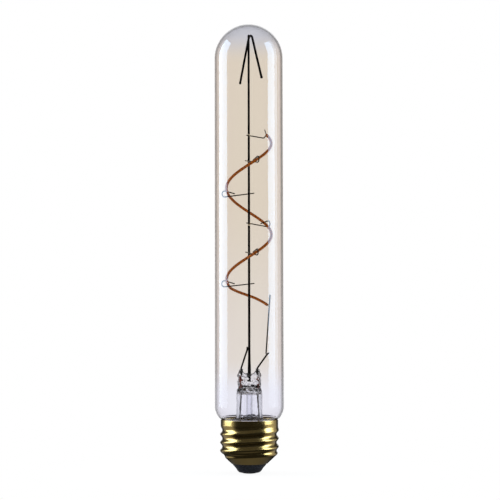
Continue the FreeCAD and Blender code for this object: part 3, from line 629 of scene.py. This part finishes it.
def add_press(points, faces):
    """Adds the flat press, its rounded top and its two horns to a list of points and faces."""
    half_width = press_width_mm / 2
    half_depth = press_depth_mm / 2
    top = stem_roof_mm + press_rise_mm
    roof_gap_mm = 0.3
    falls_and_insets = [(1.9, 0.0), (1.3, 0.14), (0.7, 0.45), (0.25, 0.95), (0, 1.6)]
    levels = [(stem_roof_mm + roof_gap_mm, 0.0)] + [(top - fall, inset) for fall, inset in falls_and_insets]
    add_stack(points, faces, [
        [(across * (half_width - inset) / half_width, deep * (half_depth - inset) / half_depth, level)
         for across, deep in slot_plan(half_width, half_depth)]
        for level, inset in levels
    ])
    rises_and_radii = [(-1.4, 1.7), (0, 1.45), (0.8, 1.15), (1.5, 0.9), (horn_rise_mm, 0.7)]
    angles = [math.pi * step / 10 for step in range(20)]
    for side in (-1, 1):
        add_stack(points, faces, [
            [(side * lead_spread_mm + radius * math.cos(a), radius * math.sin(a), top + rise) for a in angles]
            for rise, radius in rises_and_radii
        ])


def slot_plan(half_width, half_depth):
    """The plan of a slot with round ends, anticlockwise."""
    plan = []
    for side in (1, -1):
        for step in range(13):
            angle = math.pi * (step / 12 - 0.5)
            plan.append((side * (half_width - half_depth + half_depth * math.cos(angle)),
                         side * half_depth * math.sin(angle)))
    return plan


def add_stack(points, faces, rings):
    """Adds a closed stack of rings with the same number of points."""
    first, count = len(points), len(rings[0])
    for ring in rings:
        points.extend(ring)
    for level in range(len(rings) - 1):
        for step in range(count):
            after = (step + 1) % count
            low = first + level * count
            faces.append((low + step, low + after, low + count + after, low + count + step))
    faces.append(tuple(range(first + count - 1, first - 1, -1)))
    faces.append(tuple(range(len(points) - count, len(points))))


def apply_modifiers(piece):
    """Turns what the modifiers make into the piece's own mesh."""
    bpy.context.view_layer.update()
    graph = bpy.context.evaluated_depsgraph_get()
    made = bpy.data.meshes.new_from_object(piece.evaluated_get(graph))
    piece.modifiers.clear()
    piece.data = made
    made.shade_smooth()


def build_exhaust():
    bore = exhaust_radius_mm - exhaust_wall_mm
    tip = exhaust_tip_mm + exhaust_radius_mm
    seal_mm, roof_gap_mm = 0.1, 0.05
    outline = arc((0, tip), exhaust_radius_mm, -90, 0, 8)
    outline[0] = (0, exhaust_tip_mm)
    outline += [(exhaust_radius_mm, stem_roof_mm - roof_gap_mm), (bore, stem_roof_mm - roof_gap_mm)]
    inner = arc((0, tip + seal_mm), bore, 0, -90, 6)
    inner[-1] = (0, tip + seal_mm - bore)
    turned_piece("exhaust_pipe", outline + inner, clear_glass, 40, 50, ("exhaust_tube",))


def build_mast():
    """The mast is drawn wire, a little thicker at its foot, where the rings lie closer."""
    outline = [(0, mast_foot_mm)]
    straight = mast_top_mm - mast_radius_mm - mast_foot_mm
    steps = 20
    for step in range(steps):
        share = step / 60 if step < 6 else (step - 4) / 16
        level = mast_foot_mm + straight * share
        foot_share = smooth_step((mast_foot_level_mm - level) / mast_foot_run_mm)
        extra = mast_extra_mm * (1 - step / steps) + mast_foot_extra_mm * foot_share
        outline.append((mast_radius_mm + extra, level))
    outline += arc((0, mast_top_mm - mast_radius_mm), mast_radius_mm, 0, 90, 6)[:-1]
    outline += [(0, mast_top_mm)]
    turned_piece("mast", outline, dark_wire, 24, 50, ("support_mast",))


def upright_plane(heading, beside, level=0.0):
    """A function that puts a point of a wire's own upright plane into the bulb's frame."""
    turn = math.radians(heading)
    outward = Vector((math.cos(turn), math.sin(turn), 0))
    sideways = Vector((-math.sin(turn), math.cos(turn), 0))
    return lambda across, up: outward * across + sideways * beside + Vector((0, 0, up + level))


def touch_angle(point, centre, radius, side):
    """The angle on a circle where a line from an outside point touches it."""
    away = (point[0] - centre[0], point[1] - centre[1])
    return math.atan2(away[1], away[0]) + side * math.acos(radius / math.hypot(*away))


def bent_path(start, centre, bend, end, steps=28):
    """A straight run, an anticlockwise bend about a centre and a straight run, in a flat plane."""
    first = touch_angle(start, centre, bend, 1)
    last = touch_angle(end, centre, bend, -1)
    if last < first:
        last += 2 * math.pi
    bend_points = []
    for step in range(steps + 1):
        angle = first + (last - first) * step / steps
        bend_points.append((centre[0] + bend * math.cos(angle), centre[1] + bend * math.sin(angle)))
    return [start] + bend_points + [end]


def build_spring():
    arch_level = mast_top_mm - mast_radius_mm - spring_arch_mm
    flat = bent_path((spring_reach_mm, spring_leg_level_mm), (0, arch_level), spring_arch_mm,
                     (-spring_reach_mm, spring_leg_level_mm))
    place = upright_plane(spring_heading, mast_radius_mm + spring_wire_mm + touch_gap_mm)
    wire_piece("hairpin_spring", [place(*spot) for spot in flat], spring_wire_mm + spring_extra_mm, dark_wire,
               16, ("top_spring",))
    for side, number in (("front", 0), ("back", -1)):
        weld_bead(f"spring_tip_{side}", place(*flat[number]), Vector((0, 0, 1)), tip_bead_length_mm,
                  tip_bead_radius_mm, dark_wire)


def filament_spot(turn):
    """The filament's centre line after so many degrees from its top end, in millimetres."""
    drop = helix_pitch_mm * min(turn, flat_angle) / 360
    drop += tail_pitch_mm * max(min(turn, end_angle) - flat_angle, 0) / 360
    drop += end_pitch_mm * max(turn - end_angle, 0) / 360
    heading = math.radians(start_angle - turn)
    return Vector((helix_radius_mm * math.cos(heading), helix_radius_mm * math.sin(heading),
                   filament_top_mm - drop))


def filament_way(turn):
    return (filament_spot(turn + 0.5) - filament_spot(turn - 0.5)).normalized()


def build_filament():
    count = 300
    path = [filament_spot(whole_angle * step / count) for step in range(count + 1)]
    wire_piece("filament_spiral", path, filament_radius_mm + filament_extra_mm, filament_coat, 22,
               ("led_filament",))
    back = -filament_way(0)
    climb = math.radians(upper_tab_angle)
    upward = Vector((back.x, back.y, 0)).normalized() * math.cos(climb) + Vector((0, 0, math.sin(climb)))
    foot = path[0] + back * tab_radius_mm * math.tan(back.angle(upward))
    wire_piece("upper_tab", [foot, foot + upward * upper_tab_mm], tab_radius_mm,
               nickel_wire, 12, ("upper_end_tab",))
    wire_piece("lower_tab", [path[-1], path[-1] + filament_way(whole_angle) * lower_tab_mm], tab_radius_mm,
               nickel_wire, 12, ("lower_end_tab",))


def build_hooks():
    beside = mast_radius_mm + hook_wire_mm + touch_gap_mm
    climb = helix_pitch_mm / (2 * math.pi * helix_radius_mm)
    rest = (filament_radius_mm + hook_wire_mm + touch_gap_mm) * math.sqrt(1 + climb ** 2)
    reach = helix_radius_mm + hook_nose_mm
    arm_fall = (hook_loop_mm + hook_lift_mm) * hook_nose_mm / (hook_tail_mm + reach)
    swing_fall = climb * beside
    flat = bent_path((-hook_tail_mm, hook_loop_mm + hook_lift_mm), (reach, hook_loop_mm), hook_loop_mm,
                     (helix_radius_mm - hook_back_mm, hook_loop_mm))
    for number, turn in enumerate(hook_angles, start=1):
        level = filament_top_mm - helix_pitch_mm * turn / 360 - swing_fall - rest - arm_fall
        place = upright_plane(start_angle - turn, -beside, level)
        wire_piece(f"filament_hook_{number}", [place(*spot) for spot in flat], hook_wire_mm,
                   nickel_wire, 14, (f"support_hook_{number}",))
        mast_level = (hook_loop_mm + hook_lift_mm) * reach / (hook_tail_mm + reach)
        weld_bead(f"mast_weld_{number}", place(0, mast_level), place(1, mast_level) - place(0, mast_level))
    end = helix_radius_mm - filament_radius_mm - hook_wire_mm - touch_gap_mm
    flat = bent_path((-feed_tail_mm, feed_dip_mm), (end - 2 * feed_bend_mm, feed_bend_mm), feed_bend_mm,
                     (end, feed_dip_mm + hook_wire_mm))
    place = upright_plane(start_angle, -beside,
                          filament_top_mm - swing_fall - feed_dip_mm - hook_wire_mm)
    wire_piece("filament_feed_hook", [place(*spot) for spot in flat], hook_wire_mm,
               nickel_wire, 14, ("upper_connection_hook",))
    weld_bead("mast_weld_feed", place(0, feed_dip_mm * 0.8), place(1, 0) - place(0, 0))
    front = -mast_radius_mm - front_bead_inset_mm
    for name, turn, drop in (("feed", 0.0, 0.6), ("third", hook_angles[2], 1)):
        level = filament_top_mm - helix_pitch_mm * turn / 360 - rest * drop
        weld_bead(f"front_weld_{name}", Vector((0, front, level)), Vector((1, 0, 0)), bead_length_mm,
                  front_bead_radius_mm)


# Its metal is painted pale by default, as a painted glint on the weld
def weld_bead(name, middle, way, length=bead_length_mm, thickness=bead_radius_mm, material=weld_metal_painted_glint):
    """A small lump of melted wire, where two wires are welded or where one ends."""
    steps, end_share = 12, 0.06
    way = way.normalized()
    spots, radii = [], []
    for step in range(steps + 1):
        share = step / steps
        spots.append(middle + way * length * (share - 0.5))
        radii.append(thickness * math.sin(math.pi * (end_share + (1 - 2 * end_share) * share)) ** 0.6)
    points, faces = wire_mesh(spots, radii, 12)[:2]
    new_piece(name, points, faces, material, 60)


def build_leads():
    """The wires above the press, those sealed in it and those inside the flare."""
    wire = lead_wire_mm
    horn_tip = stem_roof_mm + press_rise_mm + horn_rise_mm
    beside = mast_radius_mm + wire + 3 * touch_gap_mm
    for side, sign in (("left", -1), ("right", 1)):
        wire_piece(f"seal_wire_{side}", [(sign * lead_spread_mm, 0, seal_bottom_mm),
                                         (sign * lead_spread_mm, 0, seal_top_mm)],
                   wire, copper_clad, 16, (f"dumet_seal_{side}",))
    heading = math.radians(left_lead_heading)
    weld = Vector((beside * math.cos(heading), beside * math.sin(heading), left_lead_top_mm))
    route = rounded_route([(-lead_spread_mm, 0, seal_top_mm), (-lead_spread_mm, 0, horn_tip + wire),
                           weld - Vector((0, 0, 3 * wire)), weld], [2 * wire, 2 * wire])
    wire_piece("lead_to_mast", route, wire, dark_nickel, 16, ("inner_lead_left",))
    tab = filament_spot(whole_angle) + filament_way(whole_angle) * lower_tab_mm
    outward = Vector((tab.x, tab.y, 0)).normalized()
    reach = math.hypot(tab.x, tab.y) + tab_radius_mm + link_wire_mm + touch_gap_mm
    foot = outward * link_foot_radius_mm + Vector((0, 0, link_foot_mm))
    weld = outward * reach + Vector((0, 0, tab.z))
    head = weld + (weld - foot).normalized() * link_rise_mm
    wire_piece("link_to_filament", [foot, weld, head], link_wire_mm, nickel_wire, 14,
               ("lower_link_wire",))
    weld_bead("tab_weld", weld - outward * link_wire_mm, Vector((0, 0, 1)), tab_bead_length_mm,
              tab_bead_radius_mm)
    beside_link = Vector((outward.y, -outward.x, 0)) * (link_wire_mm + wire + touch_gap_mm)
    meet = foot + beside_link - Vector((0, 0, lead_dip_mm))
    tip = meet + outward * lead_tip_run_mm + Vector((0, 0, lead_tip_rise_mm))
    route = rounded_route([(lead_spread_mm, 0, seal_top_mm), (lead_spread_mm, 0, horn_tip + wire), meet, tip],
                          [2 * wire, 2 * wire])
    wire_piece("lead_to_link", route, wire, dark_nickel, 16, ("inner_lead_right",))
    board_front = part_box("driver_board")[0].y / MM
    board_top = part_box("driver_board")[1].z / MM
    inside = stem_radius_mm - stem_wall_mm - wire - flare_gap_mm
    front = board_front - wire - touch_gap_mm
    for side, sign in (("left", -1), ("right", 1)):
        route = rounded_route([
            (sign * lead_spread_mm, 0, seal_bottom_mm), (sign * lead_spread_mm, 0, seal_bottom_mm - 4 * wire),
            (sign * inside, 0, flare_top_mm), (sign * (inside + 1), front, board_top + 3 * wire),
            (sign * (inside + 1), front, board_top - 4 * wire),
        ], [4 * wire, 4 * wire, 2 * wire])
        wire_piece(f"lead_in_flare_{side}", route, wire, nickel_wire, 16,
                   (f"outer_lead_{side}",))


def shell_outline(inset):
    """Half outline of the drawn shell from its eye up to its rim, set in by a wall."""
    foot_bend, foot_bend_in, crest_bend, crest_bend_up = 0.5, 0.22, 0.9, 0.38
    cone_steps, rows = 24, 110
    start, end = cone_top_mm + 0.5, rim_mm - 0.35
    step_below, step_run = 1.0, 1.4
    outline = [(eye_radius_mm, shell_foot_mm + inset)]
    lean = math.degrees(math.atan2(cone_top_mm - shell_foot_mm, crest_radius_mm - cone_foot_radius_mm))
    foot = (cone_foot_radius_mm - foot_bend_in, shell_foot_mm + foot_bend)
    outline += arc(foot, foot_bend - inset, -90, lean - 90, 5)
    crest = arc((crest_radius_mm - crest_bend, cone_top_mm + crest_bend_up), crest_bend - inset, lean - 90, 0, 8)
    cone_foot = outline[-1]
    for step in range(1, cone_steps):
        share = step / cone_steps
        outline.append(tuple(low + (high - low) * share for low, high in zip(cone_foot, crest[0])))
    outline += crest
    for row in range(rows + 1):
        level = start + (end - start) * row / rows
        narrow = smooth_step((level - collar_bottom_mm + step_below) / step_run)
        outline.append((crest_radius_mm - narrow * (crest_radius_mm - collar_radius_mm) - inset, level))
    return outline


def smooth_step(share):
    share = min(max(share, 0.0), 1.0)
    return share * share * (3 - 2 * share)


def thread_share(angle, level):
    """How deep the rolled groove is at an angle and level, from 0 at a crest to 1 at its root.

    The groove is right-handed. It fades in over a third of a turn and out over half a turn.
    """
    fade_in_from, fade_in_turns, fade_out_turns, groove_shape = -0.25, 0.35, 0.5, 0.8
    turn = (angle / (2 * math.pi) + 0.5) % 1.0
    sink = 0.0
    for lap in range(-1, 5):
        along = lap + turn
        off = (level - groove_level_mm - thread_pitch_mm * along) / thread_pitch_mm
        if abs(off) >= 0.5:
            continue
        fade = smooth_step((along - fade_in_from) / fade_in_turns)
        fade *= smooth_step((thread_turns + fade_out_turns - along) / fade_out_turns)
        sink += fade * (0.5 + 0.5 * math.cos(2 * math.pi * off)) ** groove_shape
    return min(sink, 1.0)


def build_shell():
    """The brass shell: a drawn sheet with a thread rolled right through it, which runs out over the cone."""
    sides = 160
    curl, curl_drop = 0.02, 0.12
    outer = shell_outline(0)
    inner = shell_outline(sheet_mm)
    rim_curl = [(collar_radius_mm - curl, rim_mm - curl_drop), (collar_radius_mm - sheet_mm / 2, rim_mm),
                (collar_radius_mm - sheet_mm + curl, rim_mm - curl_drop)]
    outline = outer + rim_curl + inner[::-1]
    points, faces = turned(outline, sides)
    sunk = []
    for number, (x, y, z) in enumerate(points):
        angle = math.atan2(y, x)
        radius = math.hypot(x, y)
        root = root_radius_mm - (0 if number < len(outer) * sides else sheet_mm)
        run_out = cone_groove_mm * smooth_step((z - cone_groove_foot_mm) / cone_groove_rise_mm)
        run_out *= smooth_step((cone_top_mm + cone_groove_end_mm - z) / cone_groove_end_mm)
        radius -= max(radius - root, run_out) * thread_share(angle, z)
        sunk.append((radius * math.cos(angle), radius * math.sin(angle), z))
    new_piece("brass_shell", sunk, faces, brass, 60, ("screw_shell",))


def build_foot():
    """The black insulator and the riveted contact in it."""
    plate = shell_foot_mm + sheet_mm
    widening = (crest_radius_mm - cone_foot_radius_mm) / (cone_top_mm - shell_foot_mm)
    seat_radius = cone_foot_radius_mm - 0.2
    seat = plate + 0.05
    top_radius = seat_radius + (insulator_top_mm - plate) * widening
    bevel = nose_radius_mm - nose_level_mm + contact_lip_mm
    outline = [(shank_radius_mm, contact_lip_mm), (bevel - 0.35, contact_lip_mm), (bevel, contact_lip_mm + 0.12),
               (bevel + 0.55, contact_lip_mm + 0.6), (nose_radius_mm + 0.05, nose_level_mm + 0.25),
               (nose_radius_mm + 0.5, nose_level_mm + 1.0), (eye_radius_mm - 0.35, shell_foot_mm - 0.6),
               (eye_radius_mm - 0.08, shell_foot_mm - 0.12), (eye_radius_mm - foot_gap_mm, shell_foot_mm),
               (eye_radius_mm - foot_gap_mm, seat), (seat_radius, seat),
               (top_radius, insulator_top_mm), (shank_radius_mm, insulator_top_mm)]
    turned_piece("insulator", outline, black_glass, 96, 35, ("cap_insulator",))
    shank_top = insulator_top_mm + shank_rise_mm
    outline = [(0, 0), (contact_radius_mm - 1.3, 0.03), (contact_radius_mm - 0.6, 0.14),
               (contact_radius_mm - 0.15, 0.3), (contact_radius_mm, contact_lip_mm - 0.06),
               (contact_radius_mm - 0.06, contact_lip_mm), (shank_radius_mm, contact_lip_mm),
               (shank_radius_mm, shank_top - 0.2), (shank_radius_mm - 0.2, shank_top), (0, shank_top)]
    turned_piece("contact", outline, contact_metal, 64, 35, ("centre_contact",))


def dress_cad_nodes():
    """Gives the pieces inside the cap, which keep their own shape, their materials."""
    dressed = {
        "basing_cement": cement, "driver_board": board_epoxy, "bridge_rectifier": chip_black,
        "driver_chip": chip_black, "smoothing_capacitor": sleeve, "fusible_resistor": resistor_body,
        "contact_wire": nickel_wire, "shell_wire": nickel_wire,
    }
    for name, material in dressed.items():
        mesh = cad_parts[name].data
        mesh.materials.clear()
        mesh.materials.append(material)


# Studio, in metres

camera_distance = 0.850
camera_aside = 0.00043
camera_climb = 1.0
camera_roll = -0.13
picture_width = 0.22275
picture_middle = 0.0993
lamp_distance = 0.30
lamp_height = 0.60
lamp_level = 0.15
lamp_colour = (0.74, 0.87, 1.0)
softbox_radiance = 4.9
fill_radiance = 1.8
floor_half = 3.0


def build_camera():
    """Stands in front of the bulb, a little below its middle, and looks up by one degree."""
    height = picture_middle - camera_distance * math.tan(math.radians(camera_climb))
    camera = bpy.data.cameras.new("camera")
    camera.sensor_width = 36
    camera.angle = 2 * math.atan(picture_width / 2 / camera_distance * math.cos(math.radians(camera_climb)))
    stand = bpy.data.objects.new("camera", camera)
    bpy.context.collection.objects.link(stand)
    look = Matrix.Rotation(math.radians(90 + camera_climb), 4, "X")
    look = look @ Matrix.Rotation(math.radians(camera_roll), 4, "Z")
    stand.matrix_world = Matrix.Translation((camera_aside, -camera_distance, height)) @ look
    bpy.context.scene.camera = stand


def softbox(name, angle, width, radiance):
    """A tall lamp beside the bulb. Angle is from the camera's side, positive to the right.

    It shows as a stripe on the glass but not through it, so the bulb keeps its colour from the side too.
    """
    lamp = bpy.data.lights.new(name, "AREA")
    lamp.shape = "RECTANGLE"
    lamp.size = width
    lamp.size_y = lamp_height
    lamp.energy = radiance * math.pi * width * lamp_height
    lamp.color = lamp_colour
    stand = bpy.data.objects.new(name, lamp)
    stand.visible_transmission = False
    bpy.context.collection.objects.link(stand)
    turn = math.radians(angle)
    spot = Vector((lamp_distance * math.sin(turn), -lamp_distance * math.cos(turn), lamp_level))
    aim = Vector((0, 0, lamp_level)) - spot
    stand.matrix_world = Matrix.Translation(spot) @ aim.to_track_quat("-Z", "Y").to_matrix().to_4x4()


def card_light(owner, axes, nearest, through):
    """What glass and gloss see in a direction, or at a spot on the floor: a white sheet, grey cards or walls.

    It goes by how far aside the spot lies for its depth behind the bulb. Through is 1 for light that has passed
    through glass, which sees the same studio to the front, and 0 for light mirrored from a surface.
    """
    sheet_edge, wall_edge, middle = (0.24, 0.42), (0.85, 1.3), (-0.05, 0.05)
    left_card, right_card, gloss_card = 0.64, 0.5, 0.04
    left_wall, right_wall, clear_wall = 0.5, 0.6, 1.0
    either_way = add_node(owner, "Math", {0: axes.outputs["Y"]}, operation="ABSOLUTE")
    ahead = add_node(owner, "Mix", {0: through, 2: axes.outputs["Y"], 3: either_way.outputs[0]})
    depth = add_node(owner, "Math", {0: ahead.outputs[0], 1: nearest}, operation="MAXIMUM")
    right = add_node(owner, "MapRange", {
        "Value": axes.outputs["X"], "From Min": middle[0], "From Max": middle[1],
    })
    clear_card = add_node(owner, "Mix", {0: right.outputs["Result"], 2: left_card, 3: right_card})
    card = add_node(owner, "Mix", {0: through, 2: gloss_card, 3: clear_card.outputs[0]})
    gloss_wall = add_node(owner, "Mix", {0: right.outputs["Result"], 2: left_wall, 3: right_wall})
    wall = add_node(owner, "Mix", {0: through, 2: gloss_wall.outputs[0], 3: clear_wall})
    aside = add_node(owner, "Math", {0: axes.outputs["X"]}, operation="ABSOLUTE")
    spread = add_node(owner, "Math", {0: aside.outputs[0], 1: depth.outputs[0]}, operation="DIVIDE")
    inner = add_node(owner, "MapRange", {
        "Value": spread.outputs[0], "From Min": sheet_edge[0], "From Max": sheet_edge[1],
        "To Min": 1.0, "To Max": card.outputs[0],
    }, interpolation_type="SMOOTHSTEP")
    outer = add_node(owner, "MapRange", {
        "Value": spread.outputs[0], "From Min": wall_edge[0], "From Max": wall_edge[1],
        "To Min": 0.0, "To Max": wall.outputs[0],
    }, interpolation_type="SMOOTHSTEP")
    return add_node(owner, "Math", {0: inner.outputs["Result"], 1: outer.outputs["Result"]},
                    operation="MAXIMUM").outputs[0]


def build_world():
    """A white studio. Gloss and glass see a white sheet right behind the bulb, grey cards beside it and paler
    walls, as a photographer sets them up, so that the edges of the glass draw dark. Only gloss sees a dark
    front. The ceiling is dimmer for both.
    """
    gloss_front, gloss_ceiling, clear_ceiling, room_light = 0.008, 0.06, 0.5, 0.75
    world = bpy.data.worlds.new("studio")
    bpy.context.scene.world = world
    world.use_nodes = True
    world.node_tree.nodes.clear()
    place = add_node(world, "TexCoord")
    axes = add_node(world, "SeparateXYZ", {"Vector": place.outputs["Generated"]})
    path = add_node(world, "LightPath")
    through = path.outputs["Is Transmission Ray"]
    cards = card_light(world, axes, 0.05, through)
    front = add_node(world, "Mix", {0: through, 2: gloss_front, 3: cards})
    round_it = add_node(world, "MapRange", {
        "Value": axes.outputs["Y"], "From Min": -0.5, "From Max": -0.12, "To Min": front.outputs[0],
        "To Max": cards,
    }, interpolation_type="SMOOTHSTEP")
    ceiling = add_node(world, "Mix", {0: through, 2: gloss_ceiling, 3: clear_ceiling})
    studio = add_node(world, "MapRange", {
        "Value": axes.outputs["Z"], "From Min": 0.25, "From Max": 0.7, "To Min": round_it.outputs["Result"],
        "To Max": ceiling.outputs[0],
    }, interpolation_type="SMOOTHSTEP")
    mirrored = add_node(world, "Math", {0: path.outputs["Is Glossy Ray"], 1: through}, operation="MAXIMUM")
    soft = add_node(world, "Mix", {0: mirrored.outputs[0], 2: room_light, 3: studio.outputs[0]})
    level = add_node(world, "Mix", {0: path.outputs["Is Camera Ray"], 2: soft.outputs[0], 3: 1.0})
    background = add_node(world, "Background", {"Color": (1, 1, 1, 1), "Strength": level.outputs[0]})
    output = add_node(world, "OutputWorld")
    world.node_tree.links.new(background.outputs[0], output.inputs["Surface"])


def build_floor():
    """A white floor that keeps the bulb's soft shadow near it and runs out into the white studio.

    Gloss and glass see a painted shadow on it, a small dark disc under the foot, so that the cap and the press
    draw dark lines.
    """
    shadow_share, gloss_front, gloss_foot_painted_shadow, clear_foot_painted_shadow = 0.92, 0.015, 0.14, 0.04
    mesh = bpy.data.meshes.new("floor")
    corners = [(across * floor_half, deep * floor_half, 0) for across, deep in ((-1, -1), (1, -1), (1, 1), (-1, 1))]
    mesh.from_pydata(corners, [], [(0, 1, 2, 3)])
    floor = bpy.data.objects.new("floor", mesh)
    bpy.context.collection.objects.link(floor)
    material = new_material("white_studio_paper")
    paper = add_node(material, "BsdfDiffuse", {"Color": linear("f6f6f6")})
    place = add_node(material, "NewGeometry")
    away = add_node(material, "VectorMath", {0: place.outputs["Position"]}, operation="LENGTH")
    far = add_node(material, "MapRange", {
        "Value": away.outputs["Value"], "From Min": 0.02, "From Max": 0.1, "To Min": shadow_share,
    }, interpolation_type="SMOOTHSTEP")
    axes = add_node(material, "SeparateXYZ", {"Vector": place.outputs["Position"]})
    path = add_node(material, "LightPath")
    through = path.outputs["Is Transmission Ray"]
    cards = card_light(material, axes, 0.02, through)
    facing = add_node(material, "Math", {0: axes.outputs["Y"], 1: away.outputs["Value"]}, operation="DIVIDE")
    round_it = add_node(material, "MapRange", {
        "Value": facing.outputs[0], "From Min": -0.6, "From Max": -0.2, "To Min": gloss_front, "To Max": cards,
    }, interpolation_type="SMOOTHSTEP")
    # Painted shadow: the disc under the foot is dark for gloss and glass
    sweep = add_node(material, "MapRange", {
        "Value": away.outputs["Value"], "From Min": 0.011, "From Max": 0.017, "To Min": gloss_foot_painted_shadow,
        "To Max": round_it.outputs["Result"],
    }, interpolation_type="SMOOTHSTEP")
    sheet = add_node(material, "MapRange", {
        "Value": away.outputs["Value"], "From Min": 0.022, "From Max": 0.055, "To Min": clear_foot_painted_shadow,
        "To Max": cards,
    }, interpolation_type="SMOOTHSTEP")
    mirrors = add_node(material, "Mix", {0: through, 2: sweep.outputs["Result"], 3: sheet.outputs["Result"]})
    strength = add_node(material, "Mix", {0: path.outputs["Is Camera Ray"], 2: mirrors.outputs[0], 3: 1.0})
    glow = add_node(material, "Emission", {"Color": (1, 1, 1, 1), "Strength": strength.outputs[0]})
    mirrored = add_node(material, "Math", {0: path.outputs["Is Glossy Ray"], 1: through}, operation="MAXIMUM")
    seen = add_node(material, "Math", {0: far.outputs["Result"], 1: path.outputs["Is Camera Ray"]},
                    operation="MULTIPLY")
    share = add_node(material, "Math", {0: seen.outputs[0], 1: mirrored.outputs[0]}, operation="MAXIMUM")
    mixed = add_node(material, "MixShader", {0: share.outputs[0], 1: paper.outputs[0], 2: glow.outputs[0]})
    finish_material(material, mixed.outputs[0])
    mesh.materials.append(material)


build_envelope()
build_stem()
build_exhaust()
build_mast()
build_spring()
build_filament()
build_hooks()
build_leads()
build_shell()
build_foot()
dress_cad_nodes()
build_camera()
softbox("left_softbox", -96, 0.218, softbox_radiance)
softbox("right_softbox", 80.5, 0.160, softbox_radiance)
softbox("right_fill", 102, 0.060, fill_radiance)
build_world()
build_floor()
bpy.context.scene.view_settings.view_transform = "Standard"
